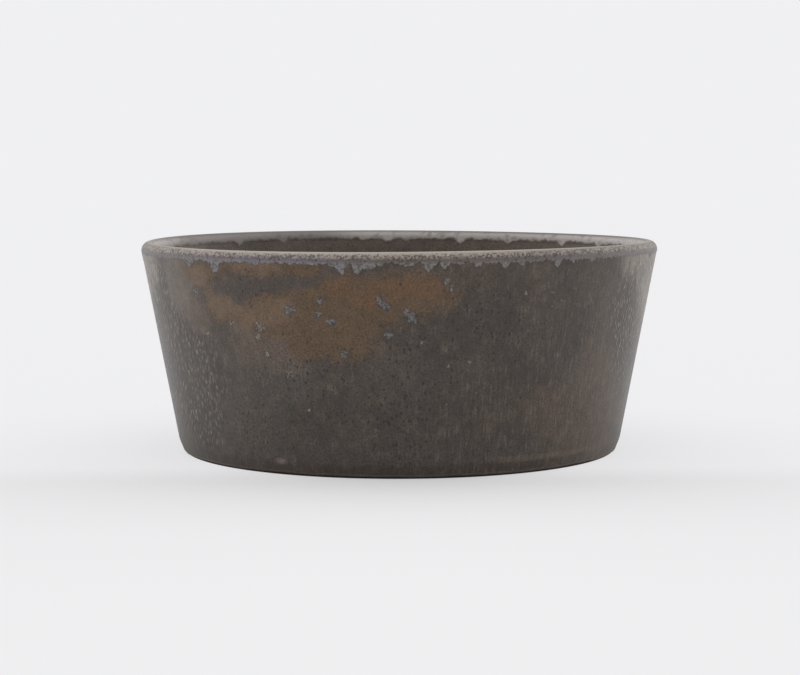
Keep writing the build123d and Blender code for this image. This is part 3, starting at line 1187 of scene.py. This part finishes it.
@dataclass(frozen=True)
class MouldedRubber:
    """Carbon-black rubber, moulded: matte near-black with a faint grey bloom and a fine tooth."""

    name: str = "moulded_rubber"
    tones: Tones = ((0.4, "#191919"), (0.7, "#2b2b2a"))
    roughness: float = 0.74
    bloom_size: float = 6.0
    tooth_size: float = 0.45
    relief_strength: float = 0.2
    relief: float = 0.05

    def make(self) -> Material:
        """Make the material.

        Returns:
            The material.
        """
        material, tree, shader, place = new_material(self.name)
        bloom, tooth = (
            add_node(
                tree, "TexNoise", {}, {"Vector": place, "Scale": per_metre(size), "Detail": detail, "Roughness": uneven}
            ).outputs["Fac"]
            for size, detail, uneven in ((self.bloom_size, 4.0, 0.6), (self.tooth_size, 2.0, 0.5))
        )
        tone = add_node(tree, "ValToRGB", {"stops": self.tones}, {"Fac": bloom}).outputs["Color"]
        skin(tree, shader, tone, tooth, self.relief_strength, self.relief)
        shader.inputs["Roughness"].default_value = self.roughness
        return material


@dataclass(frozen=True)
class StudioPaper:
    """Seamless paper under and behind the bowl: matte near-white with a barely visible tooth."""

    name: str = "studio_paper"
    white: str = "#f1f1f2"
    shade: str = "#efeff0"
    seen: str = "#f0f0f2"
    roughness: float = 0.95
    tooth_size: float = 1.2
    lightening: Point = (0.38, 0.74)  # share of the shadow that the picture leaves out, in front and beside the bowl
    front: Point = (-115.0, -60.0)  # depths between which the one share turns to the other

    def make(self) -> Material:
        """Make the material.

        Returns:
            The material.
        """
        material, tree, shader, place = new_material(self.name)
        tooth = add_node(
            tree,
            "TexNoise",
            {},
            {"Vector": place, "Scale": per_metre(self.tooth_size), "Detail": 2.0, "Roughness": 0.5},
        )
        tone = add_node(
            tree,
            "Mix",
            {"data_type": "RGBA"},
            {0: tooth.outputs["Fac"], 6: linear(self.shade), 7: linear(self.white)},
        )
        tree.links.new(tone.outputs[2], shader.inputs["Base Color"])
        shader.inputs["Roughness"].default_value = self.roughness
        shader.inputs["Specular IOR Level"].default_value = 0.0
        path = add_node(tree, "LightPath", {}, {})
        depth = add_node(tree, "SeparateXYZ", {}, {"Vector": place}).outputs["Y"]
        lighter = add_node(
            tree,
            "MapRange",
            {"interpolation_type": "SMOOTHSTEP"},
            {
                "Value": depth,
                "From Min": self.front[0] * MM,
                "From Max": self.front[1] * MM,
                "To Min": self.lightening[0],
                "To Max": self.lightening[1],
            },
        ).outputs["Result"]
        share = add_node(tree, "Math", {"operation": "MULTIPLY"}, {0: path.outputs["Is Camera Ray"], 1: lighter})
        glow = add_node(tree, "Emission", {}, {"Color": linear(self.seen), "Strength": 1.0})
        both = add_node(
            tree, "MixShader", {}, {0: share.outputs[0], 1: shader.outputs["BSDF"], 2: glow.outputs["Emission"]}
        )
        tree.links.new(both.outputs["Shader"], tree.get_output_node("ALL").inputs["Surface"])
        return material


# Sub-assemblies


@dataclass(frozen=True)
class Run:
    """One run of the rim glaze.

    Attributes:
        angle: Degrees from the front.
        width: Half its width at the band, in millimetres.
        depth: How far its tip lies below the round of the lip, along the wall, in millimetres.
        lean: Shifts its tip to the side, in half widths.
        bluntness: 1 for a pointed run, more for one with steep sides and a round tip.
    """

    angle: float
    width: float
    depth: float
    lean: float = 0.0
    bluntness: float = 1.3


@dataclass
class Vessel:
    """The thrown bowl: clay with a turned foot, the dark coat over it and the pale coat over the lip."""

    lip_middle: Point = (115.95, 93.95)
    lip_radius: float = 3.25
    wall_lean: float = 10.6
    bevel_height: float = 6.0
    bevel_inset: float = 2.4
    bevel_softness: float = 12.0
    floor_height: float = 11.5
    corner_radius: float = 16.0
    foot_ring_width: float = 12.0
    foot_recess: float = 2.5
    foot_edge_radius: float = 0.8
    foot_spread: float = 0.2  # the rounded edge of the foot stands out this far
    recess_chamfer: float = 0.4
    turning_rows: int = 110
    turning_pitch: float = 3.2
    turning_relief: float = 0.06
    glaze_thickness: float = 0.5
    glaze_line: float = 1.2
    line_wander: float = 1.1  # the lower edge of the dark coat wanders this far
    line_wander_size: float = 14.0
    line_wander_height: float = 2.6  # the coat above it follows up to here
    line_wander_fade: float = 2.4
    line_wander_radius: float = 95.0
    under_glaze: float = 0.03  # the clay lies this far under the coat, so that the two never touch
    throwing_pitch: float = 9.0
    throwing_relief: float = 0.09
    rim_thickness: float = 0.1
    rim_sink: float = 0.05  # the edge of the pale coat goes this far into the dark one
    rim_under: float = 0.16  # and its underside this far
    bead_width: float = 1.0
    bead_rise: float = 0.15
    bead_place: float = 0.7  # from the edge to the top of the bead
    bead_spread: float = 0.5
    bead_start: float = 1.3  # times the radius of the lip: no bead above that
    swell_size: float = 9.0
    swell_rise: float = 0.12  # share of the thickness
    swell_tone: float = 0.25
    fade_width: float = 3.4  # the coat thins out over this width inside
    outside_band: float = 0.6
    inside_band: float = 1.8
    edge_waves: tuple[tuple[float, float, float], ...] = (  # length and reach of a wave, and what picks its line
        (34.0, 0.3, 0.0),
        (3.0, 0.4, 5.0),
        (1.2, 0.42, 9.0),
    )
    tip_rounding: float = 0.012
    tip_lift: float = 0.11  # keeps the depth of a rounded tip
    side_swell: float = 1.2
    rim_sag: float = 0.6  # the crest dried this much lower than the drawing
    rim_warp: float = 0.8
    rim_height: float = 98.0
    cage_width: float = 242.0
    columns: int = 300
    rim_columns: int = 1440
    outside_runs: tuple[Run, ...] = (
        Run(-57.0, 6.0, 1.3), Run(-49.1, 3.2, 3.2, 0.0, 2.6), Run(-41.3, 5.2, 2.3, 0.0, 1.4),
        Run(-41.3, 2.9, 5.5, 0.0, 3.2), Run(-30.4, 2.2, 1.3), Run(-18.0, 6.0, 1.1), Run(-12.6, 3.4, 3.2, 0.4),
        Run(-11.7, 2.5, 5.3, 0.3, 1.7), Run(-8.2, 2.7, 5.3, -0.2, 1.6), Run(-6.0, 6.5, 3.2, -0.3),
        Run(1.6, 4.0, 1.7, 0.0, 2.2), Run(5.9, 2.9, 4.0, -0.3, 2.2), Run(9.1, 2.0, 3.6, -0.3, 1.8),
        Run(12.1, 1.6, 1.9), Run(15.8, 2.0, 2.6, 0.0, 1.8), Run(21.8, 2.2, 3.3, 0.0, 1.4), Run(25.6, 2.4, 2.4),
        Run(33.8, 2.6, 3.3, 0.0, 1.6), Run(38.0, 2.0, 2.2, 0.0, 1.8), Run(43.5, 1.8, 1.8, 0.0, 1.6),
    )
    inside_runs: tuple[Run, ...] = (
        Run(-134.0, 3.4, 4.6, 0.0, 1.8), Run(-148.0, 3.0, 3.4), Run(-170.0, 2.6, 2.6),
        Run(-177.0, 3.0, 3.4, 0.0, 1.8), Run(178.0, 2.0, 2.4), Run(163.5, 3.0, 4.2, 0.0, 1.8), Run(150.0, 3.0, 3.4),
        Run(133.0, 3.4, 4.0),
    )
    rim_thickness_round: tuple[Point, ...] = (
        (-180.0, 0.4), (-70.0, 0.35), (-48.0, 0.5), (-36.0, 0.95), (-20.0, 0.9), (-13.0, 0.55), (-4.0, 0.15),
        (4.0, 0.0), (18.0, 0.25), (30.0, 0.6), (40.0, 0.9), (52.0, 0.6), (66.0, 0.35), (180.0, 0.4),
    )
    hidden_outside: tuple[int, float, float, float] = (17, 50.0, 248.0, 4.2)  # as hidden_runs takes them
    hidden_inside: tuple[int, float, float, float] = (16, -126.0, 250.0, 3.4)
    pieces: list[Piece] = field(default_factory=list)

    def __post_init__(self) -> None:
        """Work out the corners of the section from the sizes."""
        lean = math.radians(self.wall_lean)
        self.across = (math.cos(lean), -math.sin(lean))
        self.down = (-math.sin(lean), -math.cos(lean))
        self.coat_radius = self.lip_radius + self.glaze_thickness
        self.outer_arc = self.coat_radius * (math.pi / 2 + lean)
        self.inner_arc = self.coat_radius * (math.pi / 2 - lean)
        lip_outside = self.along(self.lip_middle, self.across, self.lip_radius)
        fall = lip_outside[1] - self.bevel_height
        self.bevel_top = (lip_outside[0] - fall * math.tan(lean), self.bevel_height)
        self.foot_edge = (self.bevel_top[0] - self.bevel_inset, 0.0)
        self.bevel_angle = math.atan2(self.bevel_inset, self.bevel_height)
        tangent = self.bevel_softness * math.tan((self.bevel_angle - lean) / 2)
        wall_end = self.along(self.bevel_top, self.down, -tangent)
        self.bevel_middle = self.along(wall_end, self.across, -self.bevel_softness)
        lip_inside = self.along(self.lip_middle, self.across, -self.lip_radius)
        corner_height = self.floor_height + self.corner_radius
        drop = (lip_inside[1] + self.corner_radius * math.sin(lean) - corner_height) / math.cos(lean)
        self.corner_middle = self.along(self.along(lip_inside, self.down, drop), self.across, -self.corner_radius)

    @staticmethod
    def along(start: Point, way: Point, distance: float) -> Point:
        """The point at a distance from a start along a way."""
        return (start[0] + way[0] * distance, start[1] + way[1] * distance)

    @staticmethod
    def arc(middle: Point, radius: float, first: float, last: float, steps: int) -> list[Point]:
        """Points of an arc, both ends included.

        Args:
            middle: Its centre.
            radius: Its radius in millimetres.
            first: Angle of its first point in radians, from outwards towards up.
            last: Angle of its last point.
            steps: Number of parts.

        Returns:
            Radii and heights.
        """
        turns = [first + (last - first) * step / steps for step in range(steps + 1)]
        return [(middle[0] + radius * math.cos(turn), middle[1] + radius * math.sin(turn)) for turn in turns]

    @staticmethod
    def line(first: Point, last: Point, steps: int) -> list[Point]:
        """Points between two ends, neither end included."""
        shares = [step / steps for step in range(1, steps)]
        return [(first[0] + (last[0] - first[0]) * s, first[1] + (last[1] - first[1]) * s) for s in shares]

    def ripple(self, points: list[Point], way: Point) -> list[Point]:
        """Push points in and out by the rings that the thrower's fingers leave.

        Args:
            points: Radii and heights along one face.
            way: Direction out of that face.

        Returns:
            The moved points.
        """
        moved = []
        for point in points:
            distance = point[0] + point[1]  # rings of uneven depth and spacing
            swell = 0.55 + 0.45 * math.sin(distance / 23.0)
            phase = 2 * math.pi * distance / self.throwing_pitch + 1.7 * math.sin(distance / 13.0)
            push = self.throwing_relief * swell * math.sin(phase)
            moved.append(self.along(point, way, push))
        return moved

    def surface(self, lift: float, finish: float, fine: bool) -> list[Point]:
        """Line of the bowl's surface from the middle of the floor, over the lip, down to the foot bevel.

        Args:
            lift: Millimetres above the clay, square to it.
            finish: Height of the line's end on the bevel.
            fine: Draws the thrower's rings on the inside.

        Returns:
            Radii and heights.
        """
        lean = math.radians(self.wall_lean)
        floor_level = self.floor_height + lift
        corner = self.arc(self.corner_middle, self.corner_radius - lift, -math.pi / 2, -lean, 12 if fine else 6)
        lip = self.arc(self.lip_middle, self.lip_radius + lift, math.pi - lean, -lean, 20 if fine else 10)
        bevel = self.arc(self.bevel_middle, self.bevel_softness + lift, -lean, -self.bevel_angle, 5)
        bevel_way = (-math.sin(self.bevel_angle), -math.cos(self.bevel_angle))
        bevel_end = self.along(bevel[-1], bevel_way, (bevel[-1][1] - finish) / math.cos(self.bevel_angle))
        floor = self.line((0.0, floor_level), corner[0], 56 if fine else 10)
        inside = self.line(corner[-1], lip[0], 60 if fine else 12)
        if fine:
            floor = self.ripple(floor, (0.0, 1.0))
            inside = self.ripple(inside, (-self.across[0], -self.across[1]))
        outside = self.line(lip[-1], bevel[0], 40 if fine else 12)
        return floor + corner + inside + lip + outside + bevel + self.line(bevel[-1], bevel_end, 4) + [bevel_end]

    def wall_point(self, angle: float, height: float) -> Vector:
        """Point on the dark coat's outside.

        Args:
            angle: Degrees from the front.
            height: Millimetres above the table.

        Returns:
            The point in metres.
        """
        top = self.along(self.lip_middle, self.across, self.coat_radius)
        radius = top[0] - (top[1] - height) * math.tan(math.radians(self.wall_lean))
        turn = math.radians(angle)
        return Vector((radius * math.sin(turn), -radius * math.cos(turn), height)) * MM

    def settle(self, piece: Piece) -> None:
        """Let a piece sag and warp as the bowl did in drying and firing, with a lattice of eight points.

        Args:
            piece: A piece of the bowl.
        """
        bpy.ops.object.select_all(action="DESELECT")
        bpy.ops.object.add(type="LATTICE", location=(0.0, 0.0, 0.0))
        cage = bpy.context.active_object
        for way in ("u", "v", "w"):
            setattr(cage.data, "interpolation_type_" + way, "KEY_LINEAR")
        cage.scale = (self.cage_width * MM, self.cage_width * MM, self.rim_height * MM)
        cage.location = (0.0, 0.0, self.rim_height / 2 * MM)
        for point in cage.data.points:
            side, depth, level = (math.copysign(1.0, value) for value in point.co)
            if level > 0:
                drop = (self.rim_sag + self.rim_warp * side * depth) / self.rim_height
                point.co_deform = (point.co.x, point.co.y, point.co.z - drop)
        bpy.context.view_layer.update()
        bend = piece.modifiers.new("settle", "LATTICE")
        bend.object = cage
        bpy.context.view_layer.objects.active = piece
        bpy.ops.object.modifier_apply(modifier=bend.name)
        bpy.data.objects.remove(cage, do_unlink=True)

    def build_clay(self) -> Piece:
        """Turn the clay body, with its hollow foot and the lines that the turning tool left underneath.

        Returns:
            The clay.
        """
        top = self.surface(-self.under_glaze, self.foot_edge_radius, False)
        ring_inside = self.foot_edge[0] - self.foot_ring_width
        edge = self.foot_edge_radius
        outside = self.foot_edge[0] - edge + self.foot_spread
        foot = self.arc((outside, edge), edge, -self.bevel_angle, -math.pi / 2, 5)
        foot += self.line(foot[-1], (ring_inside + edge, 0.0), 8)
        foot += self.arc((ring_inside + edge, edge), edge, -math.pi / 2, -math.pi, 5)
        hollow = ring_inside - self.recess_chamfer
        recess = [(ring_inside, self.foot_recess - self.recess_chamfer), (hollow, self.foot_recess)]
        for step in range(1, self.turning_rows + 1):
            radius = hollow * (1 - step / self.turning_rows)
            wave = self.turning_relief * math.sin(radius * 2 * math.pi / self.turning_pitch)
            recess.append((radius, self.foot_recess + wave))
        pen = ProfilePen("clay_bowl", (0.0, self.floor_height - self.under_glaze))
        piece = pen.draw(top).draw(foot).draw(recess).turn(self.columns)
        self.settle(piece)
        return piece

    def build_dark_coat(self) -> Piece:
        """Turn the dark coat as a thin closed shell, and let its lower edge wander.

        Returns:
            The coat, with the attribute foot_mm (above its lower edge).
        """
        over = self.surface(self.glaze_thickness, self.glaze_line, True)
        under = self.surface(0.0, self.glaze_line, False)
        outer, inner = over[-1], under[-1]
        middle = ((outer[0] + inner[0]) / 2, (outer[1] + inner[1]) / 2)
        half = self.glaze_thickness / 2
        roll = self.arc(middle, half, -self.bevel_angle, -self.bevel_angle - math.pi, 6)[1:-1]
        pen = ProfilePen("dark_glaze_coat", (0.0, self.floor_height + self.glaze_thickness))
        pen.draw(over).draw(roll).draw(list(reversed(under)))
        piece = pen.draw([(0.0, self.floor_height)]).turn(self.columns)
        low = piece.vertex_groups.new(name="glaze_line")
        heights = [vertex.co.z / MM - self.glaze_line for vertex in piece.data.vertices]
        for vertex, above in zip(piece.data.vertices, heights):
            reach = self.line_wander_height - above
            if reach > 0 and math.hypot(vertex.co.x, vertex.co.y) > self.line_wander_radius * MM:
                low.add([vertex.index], min(1.0, reach / self.line_wander_fade), "REPLACE")
        layer = piece.data.attributes.new("foot_mm", "FLOAT", "POINT")
        layer.data.foreach_set("value", heights)
        texture = bpy.data.textures.new("glaze_line_wander", "CLOUDS")
        texture.noise_scale = self.line_wander_size * MM
        texture.noise_depth = 3
        drift = piece.modifiers.new("glaze_line_wander", "DISPLACE")
        drift.texture = texture
        drift.vertex_group = low.name
        drift.direction = "Z"
        drift.mid_level = 0.5
        drift.strength = self.line_wander * MM
        bpy.ops.object.select_all(action="DESELECT")
        bpy.context.view_layer.objects.active = piece
        bpy.ops.object.modifier_apply(modifier=drift.name)
        self.settle(piece)
        return piece

    def hidden_runs(self, count: int, first: float, sector: float, spread: float) -> list[Run]:
        """Runs by formula, where the picture shows none.

        Args:
            count: Number of runs.
            first: Angle where they begin.
            sector: Degrees that they are spread over.
            spread: Greatest depth beyond the band.

        Returns:
            The runs.
        """
        runs = []
        for number in range(count):
            share = (number * GOLDEN_SHARE + 0.17) % 1.0
            angle = first + sector * (number + 0.75 * share) / count
            width = 1.8 + 2.2 * ((number * GOLDEN_SHARE * 2) % 1.0)
            runs.append(Run(angle, width, 1.0 + spread * share**1.7, 0.5 - share))
        return runs

    def edge_depth(self, angles: np.ndarray, face: Face) -> np.ndarray:
        """How far down the wall the pale coat reaches, all round.

        Args:
            angles: Degrees from the front.
            face: Face of the wall.

        Returns:
            Millimetres below the round of the lip.
        """
        if face is Face.OUTSIDE:
            runs = list(self.outside_runs) + self.hidden_runs(*self.hidden_outside)
            base, seed = self.outside_band, 3.1
        else:
            runs = list(self.inside_runs) + self.hidden_runs(*self.hidden_inside)
            base, seed = self.inside_band, 8.4
        depth = np.zeros_like(angles)
        for run in runs:
            away = (angles - run.angle + 180.0) % 360.0 - 180.0
            across = np.radians(away) * RIM_RADIUS / run.width
            across = across - run.lean * np.clip(1.0 - np.abs(across), 0.0, 1.0)
            inward = np.clip(1.0 - np.sqrt(across**2 + self.tip_rounding) + self.tip_lift, 0.0, 1.0)
            shape = 1.0 - (1.0 - inward**self.side_swell) ** run.bluntness
            depth = np.maximum(depth, (run.depth - base) * shape)
        edge = base + depth
        for wave, reach, shift in self.edge_waves:
            edge = edge + reach * np.array([wander(angle, wave, seed + shift) for angle in angles])
        return edge

    def build_pale_coat(self) -> Piece:
        """Turn the pale coat over the lip as a thin closed band, then let its lower edges run down both faces.

        Returns:
            The coat, with the attributes lip_mm (from the crest, positive outside), edge_mm (from the edge) and
            thickness (0 thin, 1 thick).
        """
        edge_rows = [0.0, 0.05, 0.12, 0.22, 0.36, 0.55, 0.8]
        middle_rows = 22
        under_rows = 12
        overhang = 3.0  # drawn this far down both faces, before it runs
        drawn_depth = 0.5
        guard = edge_rows[-1]
        inside_start = -self.inner_arc - overhang
        outside_end = self.outer_arc + overhang
        rows = [inside_start + row for row in edge_rows]
        span = outside_end - inside_start - 2 * guard
        rows += [inside_start + guard + span * row / middle_rows for row in range(1, middle_rows)]
        rows += [outside_end - row for row in reversed(edge_rows)]
        under = [outside_end + (inside_start - outside_end) * row / under_rows for row in range(1, under_rows)]
        loop = [self.lip_point(row, 0.0) for row in rows] + [self.lip_point(row, -drawn_depth) for row in under]
        pen = ProfilePen("pale_rim_coat", loop[0])
        piece = pen.draw(loop[1:]).draw([loop[0]]).turn(self.rim_columns)

        mesh = piece.data
        count = len(mesh.vertices)
        places = np.empty(count * 3)
        mesh.vertices.foreach_get("co", places)
        places = places.reshape(-1, 3) / MM
        angles = np.degrees(np.arctan2(places[:, 0], -places[:, 1]))
        lip, lift = self.lip_place(np.hypot(places[:, 0], places[:, 1]), places[:, 2])
        steps = np.round(angles * self.rim_columns / 360.0).astype(int) % self.rim_columns
        ring = np.arange(self.rim_columns) * 360.0 / self.rim_columns
        outside_ring = self.outer_arc + self.edge_depth(ring, Face.OUTSIDE)
        inside_ring = -self.inner_arc - self.edge_depth(ring, Face.INSIDE)
        outside, inside = outside_ring[steps], inside_ring[steps]
        swell = np.array([wander(angle, self.swell_size, 15.5) for angle in ring])[steps]

        from_outside = outside_end - lip
        from_inside = lip - inside_start
        share = (from_inside - guard) / span
        moved = inside + guard + share * (outside - inside - 2 * guard)
        moved = np.where(from_outside < guard, outside - from_outside, moved)
        moved = np.where(from_inside < guard, inside + from_inside, moved)

        # Distance to the edge, also to that of the columns beside
        neighbours, lip_reach, farthest = 6, 119.0, 9.0
        edge = np.full(count, farthest)
        for shift in range(-neighbours, neighbours + 1):
            beside = abs(shift) * 2 * math.pi * lip_reach / self.rim_columns
            beyond = (steps + shift) % self.rim_columns
            below = np.minimum(outside_ring[beyond] - moved, moved - inside_ring[beyond])
            edge = np.minimum(edge, np.hypot(beside, np.clip(below, 0.0, None)))
        width = np.where(moved > 0.0, self.bead_width, self.fade_width)
        rise = np.sqrt(np.clip(1.0 - (1.0 - np.clip(edge / width, 0.0, 1.0)) ** 2, 0.0, 1.0))
        bead = self.bead_rise * np.exp(-(((edge - self.bead_place) / self.bead_spread) ** 2))
        bead = 1.0 + bead * (np.abs(moved) > self.coat_radius * self.bead_start)
        thick = self.rim_thickness * bead * (1.0 + self.swell_rise * swell)
        height = np.where(lift > -drawn_depth / 2, (thick + self.rim_sink) * rise - self.rim_sink, -self.rim_under)
        radius, level = self.lip_point_array(moved, height)
        turn = np.radians(angles)
        places = np.stack([radius * np.sin(turn), -radius * np.cos(turn), level], axis=1) * MM
        mesh.vertices.foreach_set("co", places.ravel())
        thickness = np.interp(angles, *zip(*self.rim_thickness_round)) + self.swell_tone * swell
        for name, values in (("lip_mm", moved), ("edge_mm", edge), ("thickness", np.clip(thickness, 0.0, 1.0))):
            layer = mesh.attributes.new(name, "FLOAT", "POINT")
            layer.data.foreach_set("value", values.astype(np.float32))
        mesh.update()
        self.settle(piece)
        return piece

    def lip_point_array(self, lip: np.ndarray, lift: np.ndarray) -> tuple[np.ndarray, np.ndarray]:
        """Points over the lip.

        Args:
            lip: Millimetres along the dark coat from the crest, positive outside.
            lift: Millimetres above the dark coat.

        Returns:
            Radii and heights.
        """
        lean = math.radians(self.wall_lean)
        turn = np.clip(lip / self.coat_radius, lean - math.pi / 2, lean + math.pi / 2)
        beyond = np.clip(lip - self.outer_arc, 0.0, None) + np.clip(-lip - self.inner_arc, 0.0, None)
        reach = self.coat_radius + lift
        radius = self.lip_middle[0] + reach * np.sin(turn) + self.down[0] * beyond
        height = self.lip_middle[1] + reach * np.cos(turn) + self.down[1] * beyond
        return radius, height

    def lip_point(self, lip: float, lift: float) -> Point:
        """One point over the lip, as lip_point_array gives many."""
        radius, height = self.lip_point_array(np.array([lip]), np.array([lift]))
        return (float(radius[0]), float(height[0]))

    def lip_place(self, radius: np.ndarray, height: np.ndarray) -> tuple[np.ndarray, np.ndarray]:
        """Undo lip_point_array.

        Args:
            radius: Radii in millimetres.
            height: Heights in millimetres.

        Returns:
            Distances along the dark coat from the crest, and above it.
        """
        out = radius - self.lip_middle[0]
        up = height - self.lip_middle[1]
        below = out * self.down[0] + up * self.down[1]
        beside = out * self.across[0] + up * self.across[1]
        turn = np.arctan2(out, up)
        on_arc = turn * self.coat_radius
        on_wall = np.where(beside > 0, self.outer_arc + below, -self.inner_arc - below)
        lip = np.where(below > 0, on_wall, on_arc)
        lift = np.where(below > 0, np.abs(beside), np.hypot(out, up)) - self.coat_radius
        return lip, lift

    def build(self) -> None:
        """Build the three pieces of the bowl."""
        self.clay = self.build_clay()
        self.dark_coat = self.build_dark_coat()
        self.pale_coat = self.build_pale_coat()
        self.pieces = [self.clay, self.dark_coat, self.pale_coat]

    def dress(self, clay: BareStoneware, dark: IronGlaze, pale: RimGlaze) -> None:
        """Give the pieces their finishes and let them ride on the vessel.

        Args:
            clay: Finish of the clay.
            dark: Finish of the dark coat.
            pale: Finish of the pale coat.
        """
        dress(self.clay, clay.make())
        dress(self.dark_coat, dark.make())
        dress(self.pale_coat, pale.make())
        ride(self.clay, Body.VESSEL, Node.CLAY)
        ride(self.dark_coat, Body.VESSEL, Node.DARK_COAT)
        ride(self.pale_coat, Body.VESSEL, Node.PALE_COAT)


@dataclass
class PinHolder:
    """The pin holder: a cast plate with brass pins, in a rubber ring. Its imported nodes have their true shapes."""

    plate: Piece = field(default_factory=lambda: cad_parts[Node.PLATE.value])
    pins: Piece = field(default_factory=lambda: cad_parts[Node.PINS.value])
    ring: Piece = field(default_factory=lambda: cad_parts[Node.RING.value])

    def dress(self, alloy: CastAlloy, brass: DrawnBrass, rubber: MouldedRubber) -> None:
        """Give the nodes their finishes.

        Args:
            alloy: Finish of the plate.
            brass: Finish of the pins.
            rubber: Finish of the ring.
        """
        dress(self.plate, alloy.make())
        dress(self.pins, brass.make())
        dress(self.ring, rubber.make())


@dataclass(frozen=True)
class Softbox:
    """A softbox far away in the pale room.

    Attributes:
        azimuth: Degrees from the back of the room, positive to the viewer's right.
        elevation: Degrees above the table.
        core: Degrees from its middle that are fully bright.
        reach: Degrees from its middle where it ends.
        level: How much brighter than the room it is, where 1 is white.
    """

    azimuth: float
    elevation: float
    core: float
    reach: float
    level: float

    def way(self) -> Vector:
        """Direction of its middle from the bowl."""
        turn, rise = math.radians(self.azimuth), math.radians(self.elevation)
        return Vector((math.sin(turn) * math.cos(rise), math.cos(turn) * math.cos(rise), math.sin(rise)))


@dataclass
class Studio:
    """Pale paper floor, softboxes far away in a pale room, and the camera of the picture."""

    floor_size: float = 8000.0
    camera_place: tuple[float, float, float] = (0.26, -986.2, 139.7)
    camera_pitch: float = 5.12
    camera_roll: float = -0.107
    focal_pixels: float = 2107.9
    sensor_width: float = 36.0
    backdrop: str = "#f0f0f2"
    room_light: float = 0.58
    softboxes: tuple[Softbox, ...] = (
        Softbox(-62.0, 8.0, 22.0, 46.0, 1.15),
        Softbox(62.0, 8.0, 22.0, 46.0, 1.3),
        Softbox(0.0, 84.0, 25.0, 60.0, 0.45),
    )

    def build(self, paper: StudioPaper) -> None:
        """Lay the floor, set the light and place the camera.

        Args:
            paper: Finish of the floor.
        """
        scene = bpy.context.scene
        scene.view_settings.view_transform = "Standard"
        bpy.ops.object.select_all(action="DESELECT")
        bpy.ops.mesh.primitive_plane_add(size=self.floor_size * MM, location=(0.0, 0.0, 0.0))
        floor = bpy.context.active_object
        floor.name = "paper_floor"
        dress(floor, paper.make())
        self.light(scene)
        self.place_camera(scene)

    def light(self, scene: bpy.types.Scene) -> None:
        """Light the bowl from a pale room with its softboxes; the camera sees plain backdrop behind the floor.

        Args:
            scene: The scene.
        """
        world = bpy.data.worlds.new("pale_studio")
        scene.world = world
        world.use_nodes = True
        tree = world.node_tree
        tree.nodes.clear()
        path = add_node(tree, "LightPath", {}, {})
        seen = add_node(
            tree,
            "Math",
            {"operation": "MAXIMUM"},
            {0: path.outputs["Is Camera Ray"], 1: path.outputs["Is Transmission Ray"]},
        )
        way = add_node(tree, "TexCoord", {}, {}).outputs["Generated"]
        level = None
        for box in self.softboxes:
            facing = add_node(tree, "VectorMath", {"operation": "DOT_PRODUCT"}, {0: way, 1: box.way()})
            bright = add_node(
                tree,
                "MapRange",
                {"interpolation_type": "SMOOTHSTEP"},
                {
                    "Value": facing.outputs["Value"],
                    "From Min": math.cos(math.radians(box.reach)),
                    "From Max": math.cos(math.radians(box.core)),
                    "To Min": 0.0,
                    "To Max": box.level,
                },
            ).outputs["Result"]
            below = self.room_light if level is None else level
            level = add_node(tree, "Math", {"operation": "ADD"}, {0: bright, 1: below}).outputs[0]
        lighting = add_node(tree, "Background", {}, {"Color": (1.0, 1.0, 1.0, 1.0), "Strength": level})
        picture = add_node(tree, "Background", {}, {"Color": linear(self.backdrop), "Strength": 1.0})
        both = add_node(
            tree,
            "MixShader",
            {},
            {0: seen.outputs[0], 1: lighting.outputs["Background"], 2: picture.outputs["Background"]},
        )
        add_node(tree, "OutputWorld", {}, {"Surface": both.outputs["Shader"]})

    def place_camera(self, scene: bpy.types.Scene) -> None:
        """Place the camera where the picture was taken from.

        Args:
            scene: The scene.
        """
        data = bpy.data.cameras.new("picture_camera")
        data.sensor_fit = "HORIZONTAL"
        data.sensor_width = self.sensor_width
        data.lens = self.focal_pixels * self.sensor_width / PICTURE_WIDTH
        data.clip_start = 0.01
        data.clip_end = 50.0
        camera = bpy.data.objects.new("picture_camera", data)
        scene.collection.objects.link(camera)
        tilt = Matrix.Rotation(math.radians(90.0 - self.camera_pitch), 4, "X")
        roll = Matrix.Rotation(math.radians(self.camera_roll), 4, "Z")
        camera.matrix_world = Matrix.Translation(Vector(self.camera_place) * MM) @ tilt @ roll
        scene.camera = camera


def main() -> None:
    """Build the bowl, dress it and its pin holder, and set up the studio."""
    logging.basicConfig(level=logging.INFO, format="%(name)s: %(message)s")
    vessel = Vessel()
    vessel.build()
    vessel.dress(BareStoneware(), IronGlaze(), RimGlaze())
    holder = PinHolder()
    holder.dress(CastAlloy(), DrawnBrass(), MouldedRubber())
    Studio().build(StudioPaper())
    for piece in (*vessel.pieces, holder.plate, holder.pins, holder.ring):
        piece.data.calc_loop_triangles()
        log.info("%s: %d triangles, %s", piece.name, len(piece.data.loop_triangles), piece.data.materials[0].name)


if __name__ == "__main__":
    main()
